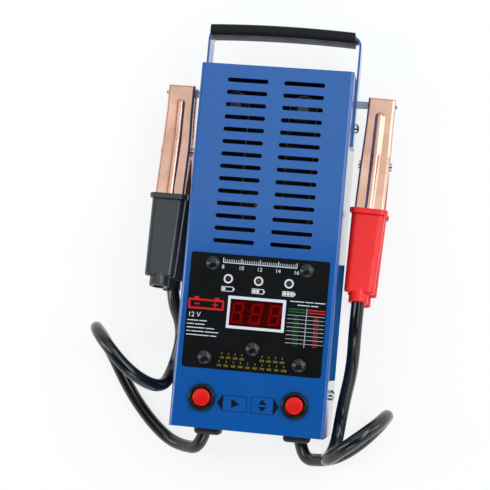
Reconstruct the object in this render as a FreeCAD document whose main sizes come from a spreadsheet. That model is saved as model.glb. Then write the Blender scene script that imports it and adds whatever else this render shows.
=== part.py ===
import FreeCAD, Part
import math
import os
import re
import Sketcher

vec = FreeCAD.Vector
doc = FreeCAD.newDocument("BatteryTester")

# Driving sizes, millimetres and degrees
sizes = {
    "body_width": 105.0, "body_height": 248.4, "body_depth": 76.0, "steel": 1.0, "bend_radius": 2.4,
    "cover_gap": 0.1, "mid_depth": 38.0,
    "slot_length": 28.2, "slot_height": 3.1, "slot_pitch": 8.5, "slot_rows": 14.0,
    "slot_apart": 38.8, "slot_first": 10.9,
    "label_width": 94.4, "label_height": 78.0, "label_y": 79.2, "label_thick": 0.4, "label_round": 1.8,
    "rivet_head": 9.8, "rivet_rise": 2.6, "rivet_shank": 3.8, "rivet_x": 32.0,
    "rivet_high": 6.0, "rivet_low": 6.2, "rivet_middle": 14.4,
    "led_apart": 20.7, "led_y": 16.7, "led_diameter": 3.8,
    "display_width": 35.6, "display_height": 18.1, "display_y": 38.9,
    "button_x": 31.4, "button_y": 20.6, "bezel_diameter": 18.0, "bezel_rise": 3.4,
    "cap_diameter": 12.3, "cap_proud": 0.6, "cap_dome": 0.7, "barrel_diameter": 15.0,
    "barrel_long": 20.0, "button_travel": 2.5, "bore_slack": 0.1,
    "board_width": 84.0, "board_height": 76.0, "board_thick": 1.6, "board_drop": 8.0,
    "strap_wide": 20.0, "strap_thick": 1.5, "strap_end": 47.2, "strap_top": 26.8, "strap_bend": 7.0,
    "grip_long": 102.0, "grip_tall": 11.4, "grip_wide": 24.0, "grip_bow": 1.4, "grip_round": 3.4,
    "rest_thick": 2.0, "rest_reach": 29.5, "rest_low": 18.2, "rest_tall": 5.0, "rest_tip": 2.2,
    "screw_high": 32.7, "screw_low": 29.0, "screw_head": 7.4, "screw_rise": 2.8, "screw_shank": 4.0,
    "gland_x": 31.3, "gland_z": 32.0, "gland_wide": 18.7, "gland_deep": 15.0, "gland_rise": 6.0,
    "gland_neck": 14.0,
    "cable_diameter": 8.3,
    "ribbon_thick": 0.9, "ribbon_wide": 14.0, "ribbon_back": 48.0, "ribbon_top": 26.2,
    "ribbon_bottom": 35.0, "run_one": -37.8, "run_two": -19.0, "run_three": 9.4, "run_four": 28.2,
    "frame_inset": 6.5, "frame_sheet": 1.2, "frame_leg": 32.0, "frame_foot": 60.0, "frame_lip": 52.0,
    "frame_clear": 3.0, "post_bolt": 4.0, "bolt_head": 8.2, "bolt_tall": 2.8, "nut_tall": 3.2,
    "bar_wide": 10.0, "bar_thick": 2.0, "relay_wide": 28.0, "relay_low": 19.0, "lug_bolt": 5.0,
    "clamp_right_x": 17.5, "clamp_left_x": 17.7, "clamp_pivot_y": 42.0, "clamp_lean": 1.7,
    "jaw_tip": 46.5, "jaw_steel": 1.0, "jaw_slip": 0.2, "jaw_tip_half": 9.4, "jaw_grip_half": 10.15,
    "jaw_rib": 7.0, "pin_diameter": 4.0, "pin_slack": 0.05, "grip_gap": 0.3,
    "jaw_back": 8.3, "jaw_tail": -72.0, "handle_slope": 0.18, "handle_rise": 14.5, "handle_back": 3.7,
    "jaw_ear": 5.6, "jaw_ear_room": 0.6, "jaw_ear_reach": 4.0, "jaw_ear_low": 3.4, "mouth_open": 2.2,
    "jaw_shoulder": 27.0, "jaw_knee": -28.0, "jaw_heel": 6.0, "jaw_round": 1.8,
    "jaw_rib_low": -40.0, "jaw_rib_high": 33.0, "jaw_rib_rise": 1.6, "tooth_pitch": 3.4, "tooth_deep": 1.7,
    "tooth_first": 10.0, "sleeve_wide": 22.9, "sleeve_deep": 13.4, "sleeve_foot_wide": 20.4,
    "sleeve_foot_deep": 12.6, "sleeve_round": 4.2, "lip_wide": 26.4, "lip_deep": 15.4, "lip_long": 3.6,
    "sleeve_lip": -32.5, "sleeve_end": -91.0, "collar_long": 7.0, "collar_diameter": 13.2,
    "coil_wire": 1.6, "coil_mean": 8.4, "coil_pitch": 2.3, "coil_turns": 4.0, "leg_free": 12.0,
    "leg_held": 33.0, "leg_long": 14.0,
    "spring_wire": 0.7, "spring_mean": 7.0, "spring_turns": 4.0,
}

sheet = doc.addObject("Spreadsheet::Sheet", "Size")
for row, (name, number) in enumerate(sizes.items(), start=1):
    sheet.set("A%d" % row, name)
    sheet.set("B%d" % row, "%g" % number)
    sheet.setAlias("B%d" % row, name)
doc.recompute()


# Places that follow from the sizes, measured from the middle of the body
places = {
    "slot_row": "body_height/2 - slot_first",
    "label_mid": "label_y - body_height/2",
    "label_top": "label_y - body_height/2 + label_height/2",
    "label_foot": "label_y - body_height/2 - label_height/2",
    "rivet_row_high": "label_mid + board_height/2 - rivet_high",
    "rivet_row_low": "label_mid - board_height/2 + rivet_low",
    "rivet_row_mid": "label_mid - board_height/2 + rivet_middle",
    "lamp_row": "label_top - led_y",
    "display_mid": "label_top - display_y",
    "button_row": "button_y - body_height/2",
    "strap_foot": "body_height/2 - strap_end",
    "strap_crown": "body_height/2 + strap_top",
    "rest_edge": "body_height/2 - rest_low",
    "rest_end": "body_width/2 + rest_reach",
    "upper_screw": "body_height/2 - screw_high",
    "lower_screw": "screw_low - body_height/2",
    "ribbon_high": "body_height/2 - ribbon_top",
    "ribbon_low": "label_top + ribbon_bottom",
    "frame_half": "body_width/2 - frame_inset",
    "relay_left": "board_width/2 - relay_wide",
    "relay_foot": "label_mid - relay_low",
    "pivot_high": "rest_edge + rest_tall/2 - clamp_pivot_y",
    "pivot_right": "body_width/2 + clamp_right_x",
    "pivot_left": "0 - body_width/2 - clamp_left_x",
}


def bound(text):
    def prefixed(match):
        word = match.group(0)
        if word in places:
            return "(" + bound(places[word]) + ")"
        return "Size." + word if word in sizes else word
    return re.sub(r"[a-z_]+", prefixed, str(text))


def bind(item, rules):
    for prop, text in rules.items():
        item.setExpression(prop, bound(text))
    return item


probe = doc.addObject("App::FeaturePython", "Probe")
probe.addProperty("App::PropertyFloat", "Answer")


def value(text):
    probe.setExpression("Answer", bound(text))
    probe.recompute()
    return float(probe.Answer)


def place(item, x, y, z):
    return bind(item, {"Placement.Base.x": x, "Placement.Base.y": y, "Placement.Base.z": z})


# Bound primitives and booleans
def box(name, x, y, z, dx, dy, dz):
    item = doc.addObject("Part::Box", name)
    bind(item, {"Length": dx, "Width": dy, "Height": dz})
    return place(item, x, y, z)


def rod(name, x, y, z, radius, height, axis="z"):
    item = doc.addObject("Part::Cylinder", name)
    turns = {"x": FreeCAD.Rotation(vec(0, 1, 0), 90), "y": FreeCAD.Rotation(vec(1, 0, 0), -90)}
    item.Placement.Rotation = turns.get(axis, FreeCAD.Rotation())
    bind(item, {"Radius": radius, "Height": height})
    return place(item, x, y, z)


def ball(name, x, y, z, radius):
    item = doc.addObject("Part::Sphere", name)
    bind(item, {"Radius": radius})
    return place(item, x, y, z)


def prism(name, x, y, z, radius, height, axis="z"):
    item = doc.addObject("Part::Prism", name)
    item.Polygon = 6
    turns = {"x": FreeCAD.Rotation(vec(0, 1, 0), 90), "y": FreeCAD.Rotation(vec(1, 0, 0), -90)}
    item.Placement.Rotation = turns.get(axis, FreeCAD.Rotation())
    bind(item, {"Circumradius": radius, "Height": height})
    return place(item, x, y, z)


def fuse(name, items):
    item = doc.addObject("Part::MultiFuse", name)
    item.Shapes = items
    return item


def group(name, items):
    item = doc.addObject("Part::Compound", name)
    item.Links = items
    return item


def cut(name, base, tools):
    item = doc.addObject("Part::Cut", name)
    item.Base = base
    item.Tool = tools[0] if len(tools) == 1 else fuse(name + "_tools", tools)
    return item


def common(name, items):
    item = doc.addObject("Part::MultiCommon", name)
    item.Shapes = items
    return item


def coded(name, shape):
    item = doc.addObject("Part::Feature", name)
    item.Shape = shape
    return item


# PartDesign bodies drawn from bound corner points
def drawn(body, name, plane, corners, offset="0"):
    sketch = body.newObject("Sketcher::SketchObject", name)
    feature = next(f for f in body.Origin.OriginFeatures if f.Role == plane)
    sketch.AttachmentSupport = [(feature, "")]
    sketch.MapMode = "FlatFace"
    bind(sketch, {"AttachmentOffset.Base.z": offset})
    spots = [(value(u), value(v)) for u, v in corners]
    count = len(spots)
    for index in range(count):
        here = spots[index]
        there = spots[(index + 1) % count]
        sketch.addGeometry(Part.LineSegment(vec(here[0], here[1], 0), vec(there[0], there[1], 0)))
    for index in range(count):
        follower = (index + 1) % count
        sketch.addConstraint(Sketcher.Constraint("Coincident", index, 2, follower, 1))
    for index, (u, v) in enumerate(corners):
        for kind, text, spot in (("DistanceX", u, spots[index][0]), ("DistanceY", v, spots[index][1])):
            rule = sketch.addConstraint(Sketcher.Constraint(kind, -1, 1, index, 1, spot))
            sketch.setExpression("Constraints[%d]" % rule, bound(text))
    return sketch


def padded(name, plane, corners, length, offset="0"):
    body = doc.addObject("PartDesign::Body", name)
    sketch = drawn(body, name + "_outline", plane, corners, offset)
    pad = body.newObject("PartDesign::Pad", name + "_pad")
    pad.Profile = sketch
    pad.Midplane = True
    bind(pad, {"Length": length})
    doc.recompute()
    return body, pad


def rounded(body, base, chosen, radius):
    names = ["Edge%d" % (i + 1) for i, edge in enumerate(base.Shape.Edges) if chosen(edge)]
    fillet = body.newObject("PartDesign::Fillet", body.Name + "_round")
    fillet.Base = (base, names)
    bind(fillet, {"Radius": radius})
    doc.recompute()
    return fillet


def along(edge, axis):
    ends = [v.Point for v in edge.Vertexes]
    if len(ends) < 2:
        return False
    step = (ends[1] - ends[0]).normalize()
    return abs(step.dot(axis)) > 0.999


# Front cover: one bent sheet with a field of vent slots
wrap, wrap_pad = padded("front_wrap", "XZ_Plane", [
    ("-body_width/2", "0.4"), ("-body_width/2", "body_depth"),
    ("body_width/2", "body_depth"), ("body_width/2", "0.4"),
    ("body_width/2 - steel", "0.4"), ("body_width/2 - steel", "body_depth - steel"),
    ("-body_width/2 + steel", "body_depth - steel"), ("-body_width/2 + steel", "0.4"),
], "body_height")


def outer_bend(edge):
    middle = edge.CenterOfMass
    outside = abs(abs(middle.x) - value("body_width") / 2) < 0.01
    return along(edge, vec(0, 1, 0)) and outside and middle.z > value("body_depth") - 0.01


def inner_bend(edge):
    middle = edge.CenterOfMass
    inset = value("body_width") / 2 - value("steel")
    return along(edge, vec(0, 1, 0)) and abs(abs(middle.x) - inset) < 0.01 and middle.z > 10


bend_outer = rounded(wrap, wrap_pad, outer_bend, "bend_radius")
bend_inner = rounded(wrap, bend_outer, inner_bend, "bend_radius - steel")

slots = wrap.newObject("Sketcher::SketchObject", "slot_outline")
slots.AttachmentSupport = [(next(f for f in wrap.Origin.OriginFeatures if f.Role == "XY_Plane"), "")]
slots.MapMode = "FlatFace"
bind(slots, {"AttachmentOffset.Base.z": "body_depth"})
for side in (-1, 1):
    start = len(slots.Geometry)
    reach = (value("slot_length") - value("slot_height")) / 2
    radius = value("slot_height") / 2
    middle = side * value("slot_apart") / 2
    row_y = value("slot_row")
    upper = (vec(middle - reach, row_y + radius, 0), vec(middle + reach, row_y + radius, 0))
    lower = (vec(middle + reach, row_y - radius, 0), vec(middle - reach, row_y - radius, 0))
    slots.addGeometry(Part.LineSegment(*upper))
    slots.addGeometry(Part.LineSegment(*lower))
    for end in (1, -1):
        centre = vec(middle + end * reach, row_y, 0)
        circle = Part.Circle(centre, vec(0, 0, 1), radius)
        first = -math.pi / 2 if end > 0 else math.pi / 2
        slots.addGeometry(Part.ArcOfCircle(circle, first, first + math.pi))
    right, left = start + 2, start + 3
    pairs = ((start, 2, right, 2), (start + 1, 1, right, 1), (start + 1, 2, left, 2), (start, 1, left, 1))
    for pair in pairs:
        slots.addConstraint(Sketcher.Constraint("Tangent", *pair))
    slots.addConstraint(Sketcher.Constraint("Horizontal", start))
    rules = (
        (Sketcher.Constraint("Radius", right, radius), "slot_height/2"),
        (Sketcher.Constraint("DistanceX", -1, 1, right, 3, middle + reach),
         "%d*slot_apart/2 + (slot_length - slot_height)/2" % side),
        (Sketcher.Constraint("DistanceX", -1, 1, left, 3, middle - reach),
         "%d*slot_apart/2 - (slot_length - slot_height)/2" % side),
        (Sketcher.Constraint("DistanceY", -1, 1, right, 3, row_y), "slot_row"),
    )
    for rule, text in rules:
        slots.setExpression("Constraints[%d]" % slots.addConstraint(rule), bound(text))
first_row = wrap.newObject("PartDesign::Pocket", "slot_row")
first_row.Profile = slots
bind(first_row, {"Length": "steel*3"})
rows = wrap.newObject("PartDesign::LinearPattern", "slot_rows_down")
rows.Originals = [first_row]
rows.Direction = (slots, ["V_Axis"])
rows.Reversed = True
bind(rows, {"Length": "slot_pitch*(slot_rows - 1)", "Occurrences": "slot_rows"})
wrap.Tip = rows
doc.recompute()

front_z = "body_depth - steel*2"
holes = [box("display_hole", "-display_width/2", "display_mid - display_height/2", front_z,
             "display_width", "display_height", "steel*3")]
for index in (-1, 0, 1):
    holes.append(rod("led_hole", "%d*led_apart" % index, "lamp_row", front_z, "led_diameter/2 + bore_slack",
                     "steel*3"))
for side in (-1, 1):
    holes.append(rod("button_hole", "%d*button_x" % side, "button_row", front_z,
                     "barrel_diameter/2 + bore_slack", "steel*3"))
rivet_spots = [("-rivet_x", "rivet_row_high"), ("rivet_x", "rivet_row_high"), ("-rivet_x", "rivet_row_low"),
               ("rivet_x", "rivet_row_low"), ("0", "rivet_row_mid")]
for x, y in rivet_spots:
    holes.append(rod("rivet_hole", x, y, front_z, "rivet_shank/2", "steel*3"))
for y in ("upper_screw", "lower_screw"):
    holes.append(rod("screw_hole", "-body_width/2 - 5", y, "mid_depth", "screw_shank/2",
                     "body_width + 10", "x"))
holes.append(box("rest_slot", "-body_width/2 - 5", "rest_edge - 0.4", "mid_depth - rest_thick/2 - 0.3",
                 "body_width + 10", "rest_tall + 0.8", "rest_thick + 0.6"))
front_cover = cut("front_cover", wrap, holes)

# Rear cover: back, top and bottom in one bent sheet, with four screw ears
inset = "(body_width/2 - steel - cover_gap)"
rear_parts = [
    box("back_plate", "-" + inset, "-body_height/2", "0", inset + "*2", "body_height", "steel"),
    box("top_wall", "-" + inset, "body_height/2 - steel", "0", inset + "*2", "steel",
        "body_depth - steel - cover_gap"),
    box("bottom_wall", "-" + inset, "-body_height/2", "0", inset + "*2", "steel",
        "body_depth - steel - cover_gap"),
]
for y in ("upper_screw", "lower_screw"):
    for side in (-1, 1):
        edge = inset + " - steel" if side > 0 else "-" + inset
        rear_parts.append(box("screw_ear", edge, y + " - 11", "0", "steel", "22", "mid_depth + 9"))
ear_bores = []
for y in ("upper_screw", "lower_screw"):
    ear_bores.append(rod("ear_bore", "-body_width/2 - 5", y, "mid_depth", "screw_shank/2",
                         "body_width + 10", "x"))
for side in (-1, 1):
    ear_bores.append(rod("gland_hole", "%d*gland_x" % side, "-body_height/2 - 2", "gland_z", "gland_neck/2",
                         "6", "y"))
rear_cover = cut("rear_cover", cut("rear_bored", fuse("rear_tray", rear_parts), ear_bores), [wrap])

# Handle: a bent strap and a bowed grip
strap_body, strap_pad = padded("strap_bar", "XY_Plane", [
    ("-body_width/2 - strap_thick", "strap_foot"),
    ("-body_width/2 - strap_thick", "strap_crown + strap_thick/2"),
    ("body_width/2 + strap_thick", "strap_crown + strap_thick/2"),
    ("body_width/2 + strap_thick", "strap_foot"),
    ("body_width/2", "strap_foot"), ("body_width/2", "strap_crown - strap_thick/2"),
    ("-body_width/2", "strap_crown - strap_thick/2"), ("-body_width/2", "strap_foot"),
], "strap_wide", "mid_depth")


def strap_corner(outside):
    def chosen(edge):
        middle = edge.CenterOfMass
        reach = value("body_width") / 2 + (value("strap_thick") if outside else 0)
        return (along(edge, vec(0, 0, 1)) and abs(abs(middle.x) - reach) < 0.01
                and middle.y > value("strap_crown") - 5)
    return chosen


strap_outer = rounded(strap_body, strap_pad, strap_corner(True), "strap_bend")
rounded(strap_body, strap_outer, strap_corner(False), "strap_bend - strap_thick")
strap_holes = [
    rod("strap_bore", "-body_width/2 - 5", "upper_screw", "mid_depth", "screw_shank/2",
        "body_width + 10", "x"),
    box("strap_slot", "-body_width/2 - 5", "rest_edge - 0.4", "mid_depth - rest_thick/2 - 0.3",
        "body_width + 10", "rest_tall + 0.8", "rest_thick + 0.6"),
]
handle_strap = cut("handle_strap", strap_body, strap_holes)


def bowed_grip():
    reach = value("grip_long") / 2
    tall = value("grip_tall") / 2
    rise = value("grip_bow")
    deep = value("grip_wide")
    middle = value("strap_crown")
    low = value("mid_depth") - deep / 2
    corners = [vec(-reach, middle - tall, low), vec(reach, middle - tall, low),
               vec(reach, middle + tall, low), vec(-reach, middle + tall, low)]
    sag = [vec(0, middle - tall + rise, low), vec(0, middle + tall + rise, low)]
    edges = [Part.Arc(corners[0], sag[0], corners[1]).toShape(), Part.makeLine(corners[1], corners[2]),
             Part.Arc(corners[2], sag[1], corners[3]).toShape(), Part.makeLine(corners[3], corners[0])]
    solid = Part.Face(Part.Wire(edges)).extrude(vec(0, 0, deep))
    long_edges = [e for e in solid.Edges if e.Length > reach]
    solid = solid.makeFillet(value("grip_round"), long_edges)
    return solid


handle_grip = cut("handle_grip", coded("grip_blank", bowed_grip()), [strap_body])

# Clamp rests: bent zinc tabs that pass through the side wall and the strap
rests = {}
ear_inner = "(body_width/2 - steel*2 - cover_gap)"
for side, tag in ((1, "right"), (-1, "left")):
    foot_x = ear_inner + " - rest_thick" if side > 0 else "-" + ear_inner
    tab, tab_pad = padded("rest_tab_" + tag, "XY_Plane", [
        ("%d*(%s - rest_thick)" % (side, ear_inner), "rest_edge"),
        ("%d*(body_width/2 + 12)" % side, "rest_edge"),
        ("%d*rest_end" % side, "rest_edge + (rest_tall - rest_tip)/2"),
        ("%d*rest_end" % side, "rest_edge + (rest_tall + rest_tip)/2"),
        ("%d*(body_width/2 + 12)" % side, "rest_edge + rest_tall"),
        ("%d*(%s - rest_thick)" % (side, ear_inner), "rest_edge + rest_tall"),
    ], "rest_thick", "mid_depth")

    def tip_edge(edge):
        return along(edge, vec(0, 0, 1)) and abs(edge.CenterOfMass.x) > value("rest_end") - 0.01

    rounded(tab, tab_pad, tip_edge, "rest_tip*0.4")
    foot = box("rest_foot_" + tag, foot_x, "upper_screw - 9", "mid_depth - 8", "rest_thick",
               "rest_edge + rest_tall - upper_screw + 9", "8 + rest_thick/2")
    lobe = box("rest_lobe_" + tag, foot_x, "upper_screw - 9", "mid_depth - 8", "rest_thick", "18", "16")
    bore = rod("rest_bore_" + tag, "-body_width/2 - 5", "upper_screw", "mid_depth", "screw_shank/2",
               "body_width + 10", "x")
    rests[tag] = cut("clamp_rest_" + tag, fuse("rest_blank_" + tag, [tab, foot, lobe]), [bore])


# Side screws and nuts
def pan_screw(name, side, face, y, grip_long):
    sign = "%d*" % side
    head_x = sign + "(" + face + ")" if side > 0 else sign + "(" + face + ") - screw_rise"
    shank_x = sign + "(" + face + ") - " + grip_long if side > 0 else sign + "(" + face + ")"
    blank = rod(name + "_blank", head_x, y, "mid_depth", "screw_head/2", "screw_rise", "x")
    dome = ball(name + "_dome", sign + "(" + face + " + screw_rise - screw_head*0.72)", y, "mid_depth",
                "screw_head*0.72")
    reach = " + screw_rise*0.5)" if side > 0 else " + screw_rise + 1)"
    cross_x = sign + "(" + face + reach
    tall = box(name + "_drive", cross_x, y + " - 0.5", "mid_depth - 2.1", "screw_rise*0.5 + 1", "1", "4.2")
    flat = box(name + "_cross", cross_x, y + " - 2.1", "mid_depth - 0.5", "screw_rise*0.5 + 1", "4.2", "1")
    head = cut(name + "_head", common(name + "_round", [blank, dome]), [tall, flat])
    shank = rod(name + "_shank", shank_x, y, "mid_depth", "screw_shank/2", grip_long, "x")
    return fuse(name, [head, shank])


screws = []
nuts = []
for side, tag in ((1, "right"), (-1, "left")):
    upper = pan_screw("upper_screw_" + tag, side, "body_width/2 + strap_thick", "upper_screw", "10")
    lower = pan_screw("lower_screw_" + tag, side, "body_width/2", "lower_screw", "8")
    screws += [upper, lower]
    for y, depth, name in (("upper_screw", "rest_thick", "upper"), ("lower_screw", "0", "lower")):
        face = ear_inner + " - " + depth
        nut_x = face + " - 3.2" if side > 0 else "-(" + face + ")"
        blank = prism("%s_nut_%s_blank" % (name, tag), nut_x, y, "mid_depth", "4.1", "3.2", "x")
        bore = rod("%s_nut_%s_bore" % (name, tag), "-body_width/2 - 5", y, "mid_depth", "screw_shank/2",
                   "body_width + 10", "x")
        nuts.append(cut("%s_nut_%s" % (name, tag), blank, [bore]))
side_screws = group("side_screws", screws)
side_nuts = group("side_nuts", nuts)

# Label, display window, lamps, board and its rivets
label_blank, label_pad = padded("label_film", "XY_Plane", [
    ("-label_width/2", "label_foot"), ("label_width/2", "label_foot"),
    ("label_width/2", "label_top"), ("-label_width/2", "label_top"),
], "label_thick", "body_depth + label_thick/2")
rounded(label_blank, label_pad, lambda edge: along(edge, vec(0, 0, 1)), "label_round")
label_holes = [box("label_window", "-display_width/2", "display_mid - display_height/2", "body_depth - 1",
                   "display_width", "display_height", "3")]
for index in (-1, 0, 1):
    label_holes.append(rod("label_lamp", "%d*led_apart" % index, "lamp_row", "body_depth - 1",
                           "led_diameter/2 + bore_slack", "3"))
for x, y in rivet_spots:
    label_holes.append(rod("label_rivet", x, y, "body_depth - 1", "rivet_shank/2", "3"))
front_label = cut("front_label", label_blank, label_holes)

display_window = box("display_window", "-display_width/2", "display_mid - display_height/2",
                     "body_depth - steel", "display_width", "display_height", "steel + label_thick*0.5")

board_top = "(body_depth - steel - board_drop)"
board_bores = []
rivets = []
spacers = []
head_z = "(body_depth + label_thick)"
for number, (x, y) in enumerate(rivet_spots):
    board_bores.append(rod("board_bore", x, y, board_top + " - 5", "rivet_shank/2", "10"))
    dome_radius = "((rivet_head/2)*(rivet_head/2) + rivet_rise*rivet_rise)/(2*rivet_rise)"
    dome = common("rivet_dome_%d" % number, [
        ball("rivet_ball_%d" % number, x, y, head_z + " + rivet_rise - " + dome_radius, dome_radius),
        rod("rivet_trim_%d" % number, x, y, head_z, "rivet_head/2", "rivet_rise")])
    shank = rod("rivet_shank_%d" % number, x, y, board_top + " - board_thick - 1.5", "rivet_shank/2",
                "board_drop + board_thick + steel + label_thick + 1.5")
    clinch = rod("rivet_clinch_%d" % number, x, y, board_top + " - board_thick - 1.5",
                 "rivet_shank/2 + 1.1", "1.5")
    rivets.append(fuse("rivet_%d" % number, [dome, shank, clinch]))
    spacers.append(cut("spacer_%d" % number,
                       rod("spacer_rod_%d" % number, x, y, board_top, "rivet_shank/2 + 1.4", "board_drop"),
                       [rod("spacer_bore_%d" % number, x, y, board_top, "rivet_shank/2", "board_drop")]))
label_rivets = group("label_rivets", rivets)
board_spacers = group("board_spacers", spacers)
board_blank = box("board_blank", "-board_width/2", "label_mid - board_height/2",
                  board_top + " - board_thick", "board_width", "board_height", "board_thick")
circuit_board = cut("circuit_board", board_blank, board_bores)
display_module = box("display_module", "-display_width/2 - 1", "display_mid - display_height/2 - 0.5",
                     board_top, "display_width + 2", "display_height + 1", "board_drop - 0.2")
lamps = []
for index, colour in ((-1, "red"), (0, "amber"), (1, "green")):
    x = "%d*led_apart" % index
    lens_top = "board_drop + steel + label_thick - led_diameter/2 + 0.5"
    lamps.append(fuse("led_" + colour, [
        rod("led_flange_" + colour, x, "lamp_row", board_top, "led_diameter/2 + 0.5", "1.2"),
        rod("led_stem_" + colour, x, "lamp_row", board_top, "led_diameter/2", lens_top),
        ball("led_lens_" + colour, x, "lamp_row", board_top + " + " + lens_top, "led_diameter/2")]))

# Push buttons
button_parts = {}
plunger_radius = "(cap_diameter/2 - 2)"
cap_base = "(body_depth + bezel_rise - 2.2)"
for side, tag in ((-1, "test"), (1, "set")):
    x = "%d*button_x" % side
    well = "(cap_diameter/2 + bore_slack + 0.4)"
    blank = fuse(tag + "_button_blank", [
        rod(tag + "_bezel", x, "button_row", "body_depth", "bezel_diameter/2 - 0.7", "bezel_rise"),
        rod(tag + "_flange", x, "button_row", "body_depth", "bezel_diameter/2", "bezel_rise - 0.9"),
        rod(tag + "_barrel", x, "button_row", "body_depth - barrel_long", "barrel_diameter/2",
            "barrel_long + 0.1")])
    button_parts[tag + "_button_body"] = cut(tag + "_button_body", blank, [
        rod(tag + "_well", x, "button_row", cap_base + " - button_travel - 0.5", well, "20"),
        rod(tag + "_guide", x, "button_row", cap_base + " - button_travel - 9",
            plunger_radius + " + bore_slack", "20")])
    skirt = rod(tag + "_skirt", x, "button_row", cap_base, "cap_diameter/2", "2.2 + cap_proud + cap_dome")
    crown_radius = "((cap_diameter/2)*(cap_diameter/2) + cap_dome*cap_dome)/(2*cap_dome)"
    crown = ball(tag + "_crown", x, "button_row",
                 "body_depth + bezel_rise + cap_proud + cap_dome - " + crown_radius, crown_radius)
    plunger = rod(tag + "_plunger", x, "button_row", cap_base + " - 3", plunger_radius, "3.1")
    button_parts[tag + "_button_cap"] = fuse(tag + "_button_cap", [
        common(tag + "_cap_top", [skirt, crown]), plunger])
    nut_blank = prism(tag + "_nut_blank", x, "button_row", "body_depth - steel - 2.5",
                      "barrel_diameter/2 + 3", "2.5")
    button_parts[tag + "_button_nut"] = cut(tag + "_button_nut", nut_blank, [
        rod(tag + "_nut_bore", x, "button_row", "body_depth - steel - 4", "barrel_diameter/2", "6")])


# Round tubes made of tangent arcs
def bend(first, corner, last):
    middle = (first + last) * 0.5
    half_chord = (last - first).Length / 2
    height = (corner - middle).Length
    turn = math.atan2(height, half_chord)
    through = middle + (corner - middle) * (math.tan(turn / 2) / math.tan(turn))
    return Part.Arc(first, through, last).toShape()


def biarc(start, start_way, end, end_way):
    gap = end - start
    ways = start_way + end_way
    spread = 2 * (1 - start_way.dot(end_way))
    reach = (-gap.dot(ways) + math.sqrt(gap.dot(ways) ** 2 + spread * gap.dot(gap))) / spread
    near = start + start_way * reach
    far = end - end_way * reach
    middle = (near + far) * 0.5
    return [bend(start, near, middle), bend(middle, far, end)]


def tube(edges, radius):
    path = Part.Wire(edges)
    start = edges[0].valueAt(edges[0].FirstParameter)
    way = edges[0].tangentAt(edges[0].FirstParameter)
    profile = Part.Wire([Part.makeCircle(radius, start, way)])
    solid = path.makePipeShell([profile], True, False)
    if solid.Volume < 0:
        solid.reverse()
    return solid


def helix_edges(mean_radius, pitch, turns, start_angle=0.0):
    count = int(math.ceil(turns * 4))
    spots = []
    for index in range(count + 1):
        share = turns * index / count
        angle = start_angle + 2 * math.pi * share
        spot = vec(mean_radius * math.cos(angle), mean_radius * math.sin(angle), pitch * share)
        way = vec(-mean_radius * math.sin(angle), mean_radius * math.cos(angle), pitch / (2 * math.pi))
        spots.append((spot, way.normalize()))
    edges = []
    for (start, start_way), (end, end_way) in zip(spots, spots[1:]):
        edges += biarc(start, start_way, end, end_way)
    return edges, spots


# Least clear distance between the turns of a wound wire, measured on points along it
def least_gap(edges, wire):
    spots = []
    for edge in edges:
        spots += edge.discretize(Number=9)[:-1]
    travel = [0.0]
    for here, there in zip(spots, spots[1:]):
        travel.append(travel[-1] + (there - here).Length)
    least = 1000.0
    for i, here in enumerate(spots):
        for j in range(i + 1, len(spots)):
            if travel[j] - travel[i] > 6 * wire:
                least = min(least, (spots[j] - here).Length)
    return least - wire


# Return springs of the two buttons
spring_floor = value("body_depth") + value("bezel_rise") - 2.2 - value("button_travel") - 9
spring_room = 9 + value("button_travel") - 3 - value("spring_wire")
spring_pitch = spring_room / value("spring_turns")
spring_edges, spring_spots = helix_edges(value("spring_mean") / 2, spring_pitch, value("spring_turns"))
print("button spring least gap to itself %.2f mm" % least_gap(spring_edges, value("spring_wire")))
spring_shape = tube(spring_edges, value("spring_wire") / 2)
for side, tag in ((-1, "test"), (1, "set")):
    spring = coded(tag + "_button_spring", spring_shape)
    spring.Placement.Base = vec(side * value("button_x"), value("button_row"),
                                spring_floor + value("spring_wire") / 2)
    button_parts[tag + "_button_spring"] = spring

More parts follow.
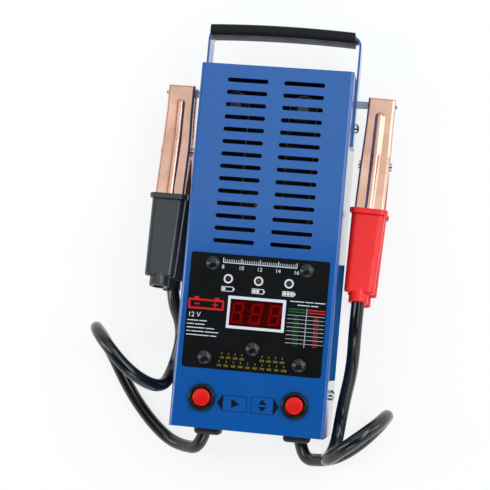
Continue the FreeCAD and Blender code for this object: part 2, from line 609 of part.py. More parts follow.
# Load resistor: one ribbon folded round ceramic posts
ribbon_parts = []
run_names = ["run_one", "run_two", "run_three", "run_four"]
run_lows = ["ribbon_low - 15", "ribbon_low", "ribbon_low", "ribbon_low - 15"]
for run, low in zip(run_names, run_lows):
    ribbon_parts.append(box("ribbon_" + run, run + " - ribbon_thick/2", low, "ribbon_back", "ribbon_thick",
                            "ribbon_high - (" + low + ")", "ribbon_wide"))
posts = []
post_bolts = []
turns = [("run_one", "run_two", "ribbon_high", 1), ("run_two", "run_three", "ribbon_low", -1),
         ("run_three", "run_four", "ribbon_high", 1)]
frame_top = "(ribbon_back - frame_clear)"
for number, (left, right, y, way) in enumerate(turns):
    centre = "(%s + %s)/2" % (left, right)
    radius = "(%s - %s)/2" % (right, left)
    ring = cut("ribbon_ring_%d" % number,
               rod("ribbon_disc_%d" % number, centre, y, "ribbon_back", radius + " + ribbon_thick/2",
                   "ribbon_wide"),
               [rod("ribbon_eye_%d" % number, centre, y, "ribbon_back - 1", radius + " - ribbon_thick/2",
                    "ribbon_wide + 2")])
    half_y = y if way > 0 else y + " - body_width"
    half_box = box("ribbon_half_%d" % number, left + " - body_width", half_y, "ribbon_back - 1",
                   "body_width*3", "body_width", "ribbon_wide + 2")
    ribbon_parts.append(common("ribbon_turn_%d" % number, [ring, half_box]))
    post = rod("post_%d" % number, centre, y, frame_top, radius + " - ribbon_thick/2 - 0.1",
               "ribbon_wide + 4")
    posts.append(cut("insulator_%d" % number, post,
                     [rod("post_bore_%d" % number, centre, y, frame_top + " - 1", "post_bolt/2 + bore_slack",
                          "ribbon_wide + 8")]))
    post_bolts.append(fuse("post_bolt_%d" % number, [
        prism("post_head_%d" % number, centre, y, frame_top + " + ribbon_wide + 4", "bolt_head/2",
              "bolt_tall"),
        rod("post_shank_%d" % number, centre, y, frame_top + " - frame_sheet - nut_tall - 1.6", "post_bolt/2",
            "ribbon_wide + 4.5 + frame_sheet + nut_tall + 1.6"),
        prism("post_nut_%d" % number, centre, y, frame_top + " - frame_sheet - nut_tall", "bolt_head/2",
              "nut_tall")]))
load_resistor = fuse("load_resistor", ribbon_parts)
resistor_insulators = group("resistor_insulators", posts)
resistor_bolts = group("resistor_bolts", post_bolts)
frame_low = "(ribbon_low - 17.4)"
frame_high = "(ribbon_high + 14)"
plate_z = frame_top + " - frame_sheet"
frame_blank = fuse("frame_blank", [
    box("frame_plate", "-frame_half", frame_low, plate_z, "frame_half*2",
        frame_high + " - " + frame_low, "frame_sheet"),
    box("frame_leg_low", "-frame_leg/2", frame_low, "steel", "frame_leg", "frame_sheet",
        frame_top + " - steel"),
    box("frame_leg_high", "-frame_foot/2", frame_high + " - frame_sheet", "steel", "frame_foot",
        "frame_sheet", frame_top + " - steel"),
    box("frame_rise", "-frame_foot/2", frame_low, plate_z, "frame_lip", "frame_sheet",
        "body_depth - 12 - " + frame_top)])
notch_z = frame_top + " - 2"
frame_tools = [box("frame_notch_left", "-frame_half - 1", frame_low + " - 1", notch_z, "16", "18", "4"),
               box("frame_notch_right", "frame_half - 23", frame_low + " - 1", notch_z, "24", "18", "4")]
for number, (left, right, y, way) in enumerate(turns):
    middle = "(%s + %s)/2" % (left, right)
    frame_tools.append(rod("frame_bore_%d" % number, middle, y, frame_top + " - 3", "post_bolt/2", "6"))
resistor_frame = cut("resistor_frame", frame_blank, frame_tools)

# Relay, bus bars and lugs between the leads and the resistor
bar_z = "(gland_z + 1)"
load_relay = fuse("load_relay", [
    box("relay_case", "relay_left", "relay_foot", bar_z + " + bar_thick + 2", "relay_wide", "relay_wide",
        board_top + " - board_thick - " + bar_z + " - bar_thick - 2"),
    rod("relay_stud_in", "gland_x", "relay_foot + bar_wide/2", bar_z + " + bar_thick", "3", "2.5"),
    rod("relay_stud_out", "run_four", "relay_foot + relay_wide - 7", bar_z + " + bar_thick", "3", "2.5")])
lug_y = "(-body_height/2 + 40)"
riser_low = "(ribbon_low - 15)"


def bus_bar(name, centre, start, end, riser_x, bored):
    bar = box(name + "_flat", centre + " - bar_wide/2", start, bar_z, "bar_wide", end + " - (" + start + ")",
              "bar_thick")
    parts = [bar]
    if riser_x:
        parts.append(box(name + "_riser", riser_x, riser_low, bar_z, "bar_thick", "10",
                         "ribbon_back + ribbon_wide - " + bar_z))
    blank = fuse(name + "_blank", parts) if len(parts) > 1 else bar
    if not bored:
        blank.Label = name
        return blank
    return cut(name, blank, [rod(name + "_bore", centre, lug_y, bar_z + " - 2", "lug_bolt/2", "6")])


negative_bar = bus_bar("bus_bar_negative", "-gland_x - 4", lug_y + " - 7", riser_low + " + 10",
                       "run_one - ribbon_thick/2 - bar_thick", False)
negative_bar = cut("bus_bar_negative", negative_bar,
                   [rod("negative_bore", "-gland_x", lug_y, bar_z + " - 2", "lug_bolt/2", "6")])
positive_bar = bus_bar("bus_bar_positive", "gland_x", lug_y + " - 7", "relay_foot + bar_wide", "", True)
relay_link = bus_bar("relay_link", "run_four", "relay_foot + relay_wide - 13", riser_low + " + 10",
                     "run_four + ribbon_thick/2", False)
relay_link.Label = "relay_link"

lugs = []
lug_bolts = []
lead_end = "(-body_height/2 + 28)"
for side, tag in ((-1, "left"), (1, "right")):
    x = "%d*gland_x" % side
    barrel = cut("lug_barrel_" + tag,
                 rod("lug_sleeve_" + tag, x, lead_end + " - 8", "gland_z", "cable_diameter/2 + 1", "10", "y"),
                 [rod("lug_socket_" + tag, x, lead_end + " - 9", "gland_z", "cable_diameter/2", "9", "y")])
    tongue = box("lug_tongue_" + tag, x + " - 5", lead_end + " + 1", "gland_z - 1", "10",
                 lug_y + " + 6 - " + lead_end + " - 1", "2")
    lugs.append(cut("cable_lug_" + tag, fuse("lug_blank_" + tag, [barrel, tongue]),
                    [rod("lug_bore_" + tag, x, lug_y, "gland_z - 4", "lug_bolt/2", "8")]))
    lug_bolts.append(fuse("lug_bolt_" + tag, [
        prism("lug_head_" + tag, x, lug_y, bar_z + " + bar_thick", "lug_bolt*0.92", "3.4"),
        rod("lug_shank_" + tag, x, lug_y, "gland_z - 7", "lug_bolt/2", "8 + bar_thick + 0.5"),
        prism("lug_nut_" + tag, x, lug_y, "gland_z - 5", "lug_bolt*0.92", "4")]))
cable_lugs = group("cable_lugs", lugs)
lug_bolt_set = group("lug_bolts", lug_bolts)

# Cable glands in the bottom wall
glands = {}
for side, tag in ((-1, "left"), (1, "right")):
    x = "%d*gland_x" % side
    shell, shell_pad = padded("gland_shell_" + tag, "XZ_Plane", [
        (x + " - gland_wide/2", "gland_z - gland_deep/2"), (x + " + gland_wide/2", "gland_z - gland_deep/2"),
        (x + " + gland_wide/2", "gland_z + gland_deep/2"), (x + " - gland_wide/2", "gland_z + gland_deep/2"),
    ], "gland_rise", "body_height/2 + gland_rise/2")

    def shell_edge(edge):
        low = edge.CenterOfMass.y < -value("body_height") / 2 - value("gland_rise") + 0.01
        return low or along(edge, vec(0, 1, 0))

    rounded(shell, shell_pad, shell_edge, "gland_rise*0.45")
    neck = rod("gland_neck_" + tag, x, "-body_height/2", "gland_z", "gland_neck/2", "steel", "y")
    lock = rod("gland_lock_" + tag, x, "-body_height/2 + steel", "gland_z", "gland_neck/2 + 1.6", "3", "y")
    bore = rod("gland_bore_" + tag, x, "-body_height/2 - 10", "gland_z", "cable_diameter/2", "20", "y")
    glands[tag] = cut("gland_bored_" + tag, fuse("gland_blank_" + tag, [shell, neck, lock]), [bore])
doc.recompute()

# Where the two clamps stand, and the line of their handles
tail_y = value("jaw_tail")
slope = value("handle_slope")
stands = {
    "red": FreeCAD.Placement(vec(value("pivot_right"), value("pivot_high"), value("mid_depth")),
                             FreeCAD.Rotation(vec(0, 0, 1), -value("clamp_lean"))),
    "black": FreeCAD.Placement(vec(value("pivot_left"), value("pivot_high"), value("mid_depth")),
                               FreeCAD.Rotation(vec(0, 1, 0), 180)),
}


def handle_z(y):
    return value("handle_rise") + slope * (value("sleeve_lip") - y)


# Cables: straight runs joined by tangent arcs
cable_routes = {
    "black": [
        (-56.1, -141.5, 8), (-73.4, -130.5, 5), (-94, -107.7, 4.5), (-113.2, -75.4, 5.2),
        (-119.8, -59.9, 32.4), (-107.2, -69.8, 61.3), (-84.9, -92.4, 61.5), (-66.5, -102.1, 39),
        (-62, -89, 20), (-55.7, -59.1, 26),
    ],
    "red": [
        (52, -142.8, 7.5), (68.8, -133.6, 5.6), (85.2, -117.2, 9.5), (94.4, -103.3, 36.1),
        (86.8, -111.8, 65.8), (68, -127.6, 72), (51.6, -141.3, 49.6), (58, -133.5, 18.4),
        (60.3, -102.8, 13), (66.5, -74.4, 45.8),
    ],
}
entry_y = -value("body_height") / 2


def whole_route(colour):
    side = -1 if colour == "black" else 1
    exit_y = value("sleeve_end") - (12 if colour == "black" else 19)
    head = [(side * value("gland_x"), entry_y + step, value("gland_z")) for step in (28, -16.4)]
    tail = [tuple(stands[colour].multVec(vec(0, y, handle_z(y)))) for y in (exit_y, tail_y - 1)]
    return head + cable_routes[colour] + tail


def lead(points, radius, name):
    spots = [vec(*p) for p in points]
    runs = [(b - a).Length for a, b in zip(spots, spots[1:])]
    edges = []
    last = spots[0]
    radii = []
    for index in range(1, len(spots) - 1):
        into = (spots[index] - spots[index - 1]).normalize()
        out = (spots[index + 1] - spots[index]).normalize()
        turn = into.getAngle(out)
        trim = 0.45 * min(runs[index - 1], runs[index])
        radii.append(trim / math.tan(turn / 2))
        start = spots[index] - into * trim
        end = spots[index] + out * trim
        edges.append(Part.makeLine(last, start))
        edges.append(bend(start, spots[index], end))
        last = end
    edges.append(Part.makeLine(last, spots[-1]))
    solid = tube(edges, radius)
    length = sum(edge.Length for edge in edges)
    share = solid.Volume / (math.pi * radius ** 2 * length)
    print("%s length %.1f mm, volume share %.4f" % (name, length, share))
    print("%s arc radii mm: %s" % (name, ", ".join("%.1f" % r for r in radii)))
    return solid


cables = {}
for colour, tag in (("black", "left"), ("red", "right")):
    name = "cable_" + colour
    cables[name] = coded(name, lead(whole_route(colour), value("cable_diameter") / 2, name))
    glands[tag] = cut("gland_" + tag, glands[tag], [cables[name]])


# Clamps, drawn about the pivot with the tip toward plus y and the cable half above
far = 4 * value("jaw_grip_half")


def plate(points, axis, low, high):
    if axis == "x":
        spots = [vec(low, u, v) for u, v in points]
        way = vec(high - low, 0, 0)
    else:
        spots = [vec(u, v, low) for u, v in points]
        way = vec(0, 0, high - low)
    return Part.Face(Part.makePolygon(spots + [spots[0]])).extrude(way)


def outline(tip_half, grip_half, tip, tail):
    shoulder = value("jaw_shoulder")
    return [(-tip_half, tip), (tip_half, tip), (tip_half, shoulder), (grip_half, 0), (grip_half, tail),
            (-grip_half, tail), (-grip_half, 0), (-tip_half, shoulder)]


knee_y = value("jaw_knee")
heel_y = value("jaw_heel")
base_line = [(y, handle_z(y) + value("handle_back")) for y in (tail_y, knee_y)]
base_line.append((heel_y, value("jaw_back") + 1))


def back_height(y, line):
    for (y0, z0), (y1, z1) in zip(line, line[1:]):
        if y <= y1:
            return z0 + (z1 - z0) * (y - y0) / (y1 - y0)
    return line[-1][1]


# Rounds the long bends and the tip of a pressed half
def pressed(solid, line, tip, tail, radius):
    solid = solid.removeSplitter()
    chosen = []
    for edge in solid.Edges:
        middle = edge.CenterOfMass
        if abs(middle.z - back_height(middle.y, line)) > 0.02 or middle.y < tail + 0.01:
            continue
        if abs(middle.x) > 0.01 or abs(middle.y - tip) < 0.01:
            chosen.append(edge)
    return solid.makeFillet(radius, chosen)


# Round rib along the back of a pressed half, with its ends domed
def rib(line, half_wide, rise, grow):
    radius = (half_wide ** 2 + rise ** 2) / (2 * rise)
    stops = [value("jaw_rib_low"), heel_y, value("jaw_rib_high")]
    spots = [vec(0, y, back_height(y, line) - radius + rise) for y in stops]
    shapes = [Part.makeSphere(radius + grow, spot) for spot in spots]
    for here, there in zip(spots, spots[1:]):
        shapes.append(Part.makeCylinder(radius + grow, (there - here).Length, here, there - here))
    return shapes[0].fuse(shapes[1:])


# Ears of the free half, let in so that they turn between those of the cable half
def let_in_ears(shape, blank):
    outer = value("jaw_grip_half") - value("jaw_steel") - value("jaw_slip")
    inner = outer - value("jaw_steel")
    radius = value("jaw_ear")
    reach = radius + value("jaw_ear_reach")
    lowest = value("jaw_ear_low")
    for side in (-1, 1):
        way = vec(side, 0, 0)
        room = Part.makeCylinder(radius + value("jaw_ear_room"), far, vec(side * outer, 0, 0), way)
        ear = Part.makeCylinder(radius, outer - inner, vec(side * inner, 0, 0), way)
        joggle = plate([(-reach, lowest), (reach, lowest), (reach, far), (-reach, far)], "x",
                       side * inner, side * (outer + 2 * value("jaw_slip")))
        rise = plate([(-radius, 0), (radius, 0), (radius, far), (-radius, far)], "x",
                     side * inner, side * outer)
        shape = shape.cut(room).fuse([ear, joggle.fuse(rise).common(blank).cut(room)])
    return shape


def jaw(inner, tooth_z, pin_radius):
    steel = value("jaw_steel")
    tip = value("jaw_tip")
    bend = value("jaw_round")
    tip_half = value("jaw_tip_half")
    grip_half = value("jaw_grip_half")
    back = base_line + [(tip, value("jaw_back"))]
    edge = [(tip, tooth_z), (9, tooth_z), (4, 0.5), (-6, 3.2), (knee_y, handle_z(knee_y) - 2.5),
            (tail_y, handle_z(tail_y) - 2.5)]
    blank = plate(back + edge, "x", -far, far)
    if not inner:
        radius = value("jaw_ear")
        ear = Part.makeCylinder(radius, 2 * far, vec(-far, 0, 0), vec(1, 0, 0))
        rise = plate([(-radius, 0), (radius, 0), (radius, 8), (-radius, 8)], "x", -far, far)
        blank = blank.fuse([ear, rise])
    blank = blank.common(plate(outline(tip_half, grip_half, tip, tail_y), "z", -far, far))
    blank = pressed(blank, back, tip, tail_y, bend)
    under = [(y - (3 if y == tail_y else 0), z - steel) for y, z in base_line]
    under.append((tip - steel, value("jaw_back") - steel))
    inner_side = plate(under + [(tip - steel, -far), (tail_y - 3, -far)], "x", -far, far)
    inner_plan = plate(outline(tip_half - steel, grip_half - steel, tip - steel, tail_y - 3), "z", -far, far)
    hollow = pressed(inner_side.common(inner_plan), under, tip - steel, tail_y - 3, bend - steel)
    mouth_top = tooth_z + value("mouth_open")
    mouth = [(tip - 2 * steel, -far), (tip + 3, -far), (tip + 3, mouth_top), (tip - 2 * steel, mouth_top)]
    hollow = hollow.fuse(plate(mouth, "x", -far, far))
    rib_half = value("jaw_rib") / 2
    rise = value("jaw_rib_rise")
    above = [(y, z - steel / 2) for y, z in back] + [(tip, far), (tail_y, far)]
    crest = rib(back, rib_half, rise, 0).common(plate(above, "x", -far, far))
    shape = blank.cut(hollow)
    if inner:
        shape = let_in_ears(shape, blank)
    shape = shape.fuse(crest)
    teeth = []
    pitch = value("tooth_pitch")
    start = value("tooth_first")
    while start + pitch < tip + 0.1:
        foot = tooth_z - 1
        point = (start + pitch * 0.5, tooth_z + value("tooth_deep"))
        valley = [(start, foot), (start + pitch, foot), (start + pitch, tooth_z), point, (start, tooth_z)]
        teeth.append(plate(valley, "x", -far, far))
        start += pitch
    pin_bore = Part.makeCylinder(pin_radius, 2 * far, vec(-far, 0, 0), vec(1, 0, 0))
    tools = [rib(back, rib_half, rise, -steel), pin_bore] + teeth
    return shape.cut(tools).removeSplitter(), blank.fuse(crest)


def lofted(stations):
    wires = []
    for y, z, wide, deep, radius in stations:
        face = Part.makePlane(wide, deep, vec(-wide / 2, y, z - deep / 2), vec(0, -1, 0), vec(1, 0, 0))
        solid = face.extrude(vec(0, 1, 0))
        upright = [e for e in solid.Edges if along(e, vec(0, 1, 0))]
        solid = solid.makeFillet(radius, upright)
        ends = [f for f in solid.Faces if abs(f.CenterOfMass.y - y) < 0.001]
        wires.append(ends[0].OuterWire)
    return Part.makeLoft(wires, True, True)


def softened(solid, y, radius):
    edges = [e for e in solid.Edges if max(abs(v.Point.y - y) for v in e.Vertexes) < 0.01]
    return solid.makeFillet(radius, edges)


def sleeve(blank):
    lip = value("sleeve_lip")
    end = value("sleeve_end")
    neck = lip - value("lip_long")
    soft = value("sleeve_round")
    body = lofted([(neck, handle_z(neck), value("sleeve_wide"), value("sleeve_deep"), soft),
                   (end, handle_z(end), value("sleeve_foot_wide"), value("sleeve_foot_deep"), soft + 0.4)])
    body = softened(body, end, 1.4)
    rim = lofted([(lip, handle_z(lip) + 1.5, value("lip_wide"), value("lip_deep"), soft + 1),
                  (neck, handle_z(neck) + 1.3, value("lip_wide") - 0.6, value("lip_deep") - 0.4, soft + 1)])
    rim = softened(rim, lip, 0.8)
    collar_way = vec(0, -1, slope).normalize()
    collar = Part.makeCylinder(value("collar_diameter") / 2, value("collar_long") + 2,
                               vec(0, end + 2, handle_z(end + 2)), collar_way)
    last = min(collar.Edges, key=lambda e: e.CenterOfMass.y)
    collar = collar.makeFillet(0.9, [last])
    solid = body.fuse([rim, collar]).removeSplitter()
    bore_start = vec(0, end - 12, handle_z(end - 12))
    bore = Part.makeCylinder(value("cable_diameter") / 2, 2 * far, bore_start, collar_way * -1)
    room = Part.makeBox(2 * far, 2 * far, 2 * far, vec(-far, tail_y - 2 * far - 0.2, -far))
    pocket = blank.common(Part.makeBox(2 * far, 4 * far, 2 * far, vec(-far, tail_y - 1, -far)))
    return solid.cut([bore.common(room), pocket])


coil_span = value("coil_turns") + (180 - value("leg_free") - value("leg_held")) / 360


def coil():
    mean = value("coil_mean") / 2
    edges, spots = helix_edges(mean, value("coil_pitch"), coil_span, math.radians(value("leg_free")))
    first, first_way = spots[0]
    last, last_way = spots[-1]
    reach = value("leg_long")
    free_leg = Part.makeLine(first - first_way * reach, first)
    held_leg = Part.makeLine(last, last + last_way * reach)
    print("clamp spring least gap to itself %.2f mm" % least_gap(edges, value("coil_wire")))
    return tube([free_leg] + edges + [held_leg], value("coil_wire") / 2)


pin_radius = value("pin_diameter") / 2
cable_jaw, cable_blank = jaw(False, value("rest_thick") / 2, pin_radius)
free_jaw, free_blank = jaw(True, value("rest_thick") / 2 + value("grip_gap"), pin_radius + value("pin_slack"))
cable_sleeve = sleeve(cable_blank)
free_sleeve = sleeve(free_blank)
pin_half = value("jaw_grip_half") + 1.6
pin = Part.makeCylinder(pin_radius, 2 * pin_half, vec(-pin_half, 0, 0), vec(1, 0, 0))
bush_half = value("jaw_grip_half") - 2 * value("jaw_steel") - value("jaw_slip") - 0.3
pin = pin.fuse(Part.makeCylinder((value("coil_mean") - value("coil_wire")) / 2 - 0.03, 2 * bush_half,
                                 vec(-bush_half, 0, 0), vec(1, 0, 0)))
for end in (-1, 1):
    head_start = vec(end * (value("jaw_grip_half") + 0.05), 0, 0)
    pin = pin.fuse(Part.makeCylinder(pin_radius + 1.2, 1.4, head_start, vec(end, 0, 0)))
coil_shape = coil()
coil_long = value("coil_pitch") * coil_span
coil_turn = FreeCAD.Rotation(vec(0, 1, 0), 90)
coil_local = FreeCAD.Placement(vec(-coil_long / 2, 0, 0), coil_turn)
flip = FreeCAD.Placement(vec(), FreeCAD.Rotation(vec(0, 1, 0), 180))
keep = FreeCAD.Placement()
clamps = {}
for colour, stand in stands.items():
    pieces = (("jaw_cable", cable_jaw, keep), ("jaw_free", free_jaw, flip), ("pivot", pin, keep),
              ("clamp_spring", coil_shape, coil_local), ("sleeve_cable", cable_sleeve, keep),
              ("sleeve_free", free_sleeve, flip))
    for piece, shape, local in pieces:
        item = coded(colour + "_" + piece, shape)
        item.Placement = stand.multiply(local)
        if piece == "sleeve_cable":
            item = cut(colour + "_sleeve_fitted", item, [cables["cable_" + colour]])
        clamps[colour + "_" + piece] = item

# Check and write every piece
nodes = {
    "front_cover": front_cover, "rear_cover": rear_cover, "handle_strap": handle_strap,
    "handle_grip": handle_grip, "clamp_rest_right": rests["right"], "clamp_rest_left": rests["left"],
    "side_screws": side_screws, "side_nuts": side_nuts, "front_label": front_label,
    "display_window": display_window, "display_module": display_module, "circuit_board": circuit_board,
    "label_rivets": label_rivets, "board_spacers": board_spacers, "led_red": lamps[0],
    "led_amber": lamps[1], "led_green": lamps[2], "load_resistor": load_resistor,
    "resistor_insulators": resistor_insulators, "resistor_bolts": resistor_bolts,
    "resistor_frame": resistor_frame, "load_relay": load_relay, "bus_bar_negative": negative_bar,
    "bus_bar_positive": positive_bar, "relay_link": relay_link, "cable_lugs": cable_lugs,
    "lug_bolts": lug_bolt_set, "gland_left": glands["left"], "gland_right": glands["right"],
}
nodes.update(button_parts)
nodes.update(cables)
nodes.update(clamps)
doc.removeObject("Probe")
doc.recompute()
for item in doc.Objects:
    if "Invalid" in item.State or "Error" in item.State:
        raise RuntimeError("object not built: " + item.Label)
os.makedirs("parts", exist_ok=True)
for name, item in nodes.items():
    item.Label = name
    shape = item.Shape
    if shape.isNull() or not shape.isValid():
        raise RuntimeError("bad shape: " + name)
    shape.exportStep(os.path.join("parts", name + ".step"))
print("pieces written", len(nodes))
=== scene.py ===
import bmesh
import bpy
import math
from mathutils import Matrix, Vector


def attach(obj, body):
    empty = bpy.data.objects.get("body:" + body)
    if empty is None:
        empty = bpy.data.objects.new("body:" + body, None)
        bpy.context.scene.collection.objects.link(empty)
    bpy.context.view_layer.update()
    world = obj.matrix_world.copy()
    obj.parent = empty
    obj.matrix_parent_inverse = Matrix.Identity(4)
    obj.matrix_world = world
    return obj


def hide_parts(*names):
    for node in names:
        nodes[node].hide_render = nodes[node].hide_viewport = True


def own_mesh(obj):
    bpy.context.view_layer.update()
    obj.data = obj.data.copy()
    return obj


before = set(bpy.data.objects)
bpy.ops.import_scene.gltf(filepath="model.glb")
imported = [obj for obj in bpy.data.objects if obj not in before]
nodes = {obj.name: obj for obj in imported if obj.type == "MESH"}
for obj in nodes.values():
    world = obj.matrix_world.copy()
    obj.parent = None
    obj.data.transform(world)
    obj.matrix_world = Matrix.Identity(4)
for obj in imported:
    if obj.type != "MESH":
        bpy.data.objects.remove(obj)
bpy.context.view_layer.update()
scene = bpy.context.scene
scene.view_settings.view_transform = "Standard"
mm = 0.001
panelFace = 76.0  # front of the housing
filmFace = 76.4  # front of the label
print("frame loaded with", len(nodes), "nodes")


# a node with its settings, then the values of its inputs
def addNode(tree, kind, values=None, **settings):
    node = tree.nodes.new(kind)
    for key, value in settings.items():
        setattr(node, key, value)
    for key, value in (values or {}).items():
        node.inputs[key].default_value = value
    return node


# camera at the photograph's angle
cameraSettings = {
    "place": (112.93, -72.33, 1052.37),
    "right": (0.98883, 0.08939, -0.11928),
    "up": (-0.07956, 0.99322, 0.08476),
    "back": (0.12605, -0.07432, 0.98924),
    "lens": 107.218,
    "sensor": 36.0,
}


def addCamera(settings):
    data = bpy.data.cameras.new("photoCamera")
    data.lens = settings["lens"]
    data.sensor_width = settings["sensor"]
    item = bpy.data.objects.new("photoCamera", data)
    scene.collection.objects.link(item)
    axes = Matrix((settings["right"], settings["up"], settings["back"])).transposed()
    item.matrix_world = Matrix.Translation(Vector(settings["place"]) * mm) @ axes.to_4x4()
    scene.camera = item


addCamera(cameraSettings)

# soft studio light in metres and watts, with a white background for the camera
worldSettings = {"fill": 0.37, "white": 1.0, "horizon": 1.0, "overhead": 0.02, "low": 0.1, "high": 0.75}
lampSettings = {
    "topPanel": {"place": (-0.05, 0.58, 1.15), "aim": (0, 0.05, 0.05), "size": (1.6, 1.05), "power": 6.0,
                 "tint": (0.78, 0.96, 1.0)},
    "leftPanel": {"place": (-1.0, -0.05, 0.75), "aim": (0, 0, 0.04), "size": (0.3, 1.1), "power": 4.6,
                  "tint": (1.0, 1.0, 1.0)},
    "rightPanel": {"place": (0.95, 0.3, 0.55), "aim": (0, 0.3, 0.04), "size": (0.45, 1.8), "power": 5.4,
                   "tint": (0.7, 0.9, 1.0)},
    "stripLight": {"place": (0.62, 0.35, 1.05), "aim": (0.05, 0.2, 0.05), "size": (1.8, 0.34), "power": 6.0,
                   "tint": (0.8, 0.93, 1.0)},
    "frontFill": {"place": (0.2, -1.1, 0.9), "aim": (0, -0.05, 0.03), "size": (0.8, 0.5), "power": 3.0,
                  "tint": (1.0, 0.98, 0.95)},
}
floorSettings = {"side": 6.0, "drop": 0.0002, "grey": 0.92, "rough": 0.9, "glow": 0.8}


# the camera sees white; gloss sees a bright horizon under a dark ceiling
def lightWorld(settings):
    world = bpy.data.worlds.new("studio")
    scene.world = world
    world.use_nodes = True
    tree = world.node_tree
    tree.nodes.clear()
    link = tree.links.new
    white = (1, 1, 1, 1)
    path = addNode(tree, "ShaderNodeLightPath")
    where = addNode(tree, "ShaderNodeTexCoord")
    parts = addNode(tree, "ShaderNodeSeparateXYZ")
    fade = addNode(tree, "ShaderNodeMapRange",
                   {"From Min": settings["low"], "From Max": settings["high"],
                    "To Min": settings["horizon"], "To Max": settings["overhead"]})
    fill = addNode(tree, "ShaderNodeBackground", {"Color": white, "Strength": settings["fill"]})
    studio = addNode(tree, "ShaderNodeBackground", {"Color": white})
    backdrop = addNode(tree, "ShaderNodeBackground", {"Color": white, "Strength": settings["white"]})
    gloss = addNode(tree, "ShaderNodeMixShader")
    seen = addNode(tree, "ShaderNodeMixShader")
    most = addNode(tree, "ShaderNodeMath", operation="MAXIMUM")
    out = addNode(tree, "ShaderNodeOutputWorld")
    link(where.outputs["Generated"], parts.inputs[0])
    link(parts.outputs["Z"], fade.inputs["Value"])
    link(fade.outputs["Result"], studio.inputs["Strength"])
    link(path.outputs["Is Glossy Ray"], gloss.inputs[0])
    link(fill.outputs[0], gloss.inputs[1])
    link(studio.outputs[0], gloss.inputs[2])
    link(path.outputs["Is Camera Ray"], most.inputs[0])
    link(path.outputs["Is Transmission Ray"], most.inputs[1])
    link(most.outputs[0], seen.inputs[0])
    link(gloss.outputs[0], seen.inputs[1])
    link(backdrop.outputs[0], seen.inputs[2])
    link(seen.outputs[0], out.inputs["Surface"])


def addLamp(name, settings):
    data = bpy.data.lights.new(name, "AREA")
    data.shape = "RECTANGLE"
    data.size, data.size_y = settings["size"]
    data.energy = settings["power"]
    data.color = settings["tint"]
    item = bpy.data.objects.new(name, data)
    scene.collection.objects.link(item)
    item.location = settings["place"]
    way = Vector(settings["aim"]) - Vector(settings["place"])
    item.rotation_euler = way.to_track_quat("-Z", "Y").to_euler()


def addFloor(settings):
    half = settings["side"] / 2
    corners = ((-half, -half), (half, -half), (half, half), (-half, half))
    mesh = bpy.data.meshes.new("studioFloor")
    mesh.from_pydata([(x, y, -settings["drop"]) for x, y in corners], [], [(0, 1, 2, 3)])
    material = bpy.data.materials.new("floorWhite")
    material.use_nodes = True
    tree = material.node_tree
    link = tree.links.new
    shader = tree.nodes["Principled BSDF"]
    shader.inputs["Base Color"].default_value = (settings["grey"],) * 3 + (1,)
    shader.inputs["Roughness"].default_value = settings["rough"]
    shader.inputs["Specular IOR Level"].default_value = 0.0
    glow = addNode(tree, "ShaderNodeEmission")
    path = addNode(tree, "ShaderNodeLightPath")
    most = addNode(tree, "ShaderNodeMath", operation="MAXIMUM")
    seen = addNode(tree, "ShaderNodeMath", {1: settings["glow"]}, operation="MULTIPLY")
    mix = addNode(tree, "ShaderNodeMixShader")
    link(path.outputs["Is Camera Ray"], most.inputs[0])
    link(path.outputs["Is Glossy Ray"], most.inputs[1])
    link(most.outputs[0], seen.inputs[0])
    link(seen.outputs[0], mix.inputs[0])
    link(shader.outputs[0], mix.inputs[1])
    link(glow.outputs[0], mix.inputs[2])
    link(mix.outputs[0], tree.nodes["Material Output"].inputs["Surface"])
    mesh.materials.append(material)
    item = bpy.data.objects.new("studioFloor", mesh)
    scene.collection.objects.link(item)


lightWorld(worldSettings)
for lampName, settings in lampSettings.items():
    addLamp(lampName, settings)
addFloor(floorSettings)
print("camera, lamps and floor ready")


# a shader group or geometry tree, with its sockets by name and kind
def newGroup(name, kind, inputs, outputs):
    tree = bpy.data.node_groups.new(name, kind)
    for way, sockets in (("INPUT", inputs), ("OUTPUT", outputs)):
        for label, content in sockets.items():
            tree.interface.new_socket(label, in_out=way, socket_type="NodeSocket" + content)
    return tree, addNode(tree, "NodeGroupInput"), addNode(tree, "NodeGroupOutput")


# shared shader groups: colour that drifts, and a grain with its own roughness
driftSettings = {"detail": 5.0}
grainSettings = {"detail": 3.0, "wideScale": 60.0, "wideDetail": 6.0, "low": 0.3, "high": 0.7,
                 "depth": 0.0004}


def driftGroup(settings):
    tree, entry, out = newGroup("colourDrift", "ShaderNodeTree",
                                {"Vector": "Vector", "Color": "Color", "Scale": "Float", "Amount": "Float"},
                                {"Color": "Color"})
    link = tree.links.new
    noise = addNode(tree, "ShaderNodeTexNoise", {"Detail": settings["detail"]})
    spread = addNode(tree, "ShaderNodeMath", {1: 2.0, 2: -1.0}, operation="MULTIPLY_ADD")  # to -1 .. 1
    swing = addNode(tree, "ShaderNodeMath", operation="MULTIPLY")
    gain = addNode(tree, "ShaderNodeMath", {1: 1.0}, operation="ADD")
    tint = addNode(tree, "ShaderNodeVectorMath", operation="SCALE")
    link(entry.outputs["Vector"], noise.inputs["Vector"])
    link(entry.outputs["Scale"], noise.inputs["Scale"])
    link(noise.outputs["Fac"], spread.inputs[0])
    link(spread.outputs[0], swing.inputs[0])
    link(entry.outputs["Amount"], swing.inputs[1])
    link(swing.outputs[0], gain.inputs[0])
    link(entry.outputs["Color"], tint.inputs[0])
    link(gain.outputs[0], tint.inputs["Scale"])
    link(tint.outputs[0], out.inputs["Color"])
    return tree


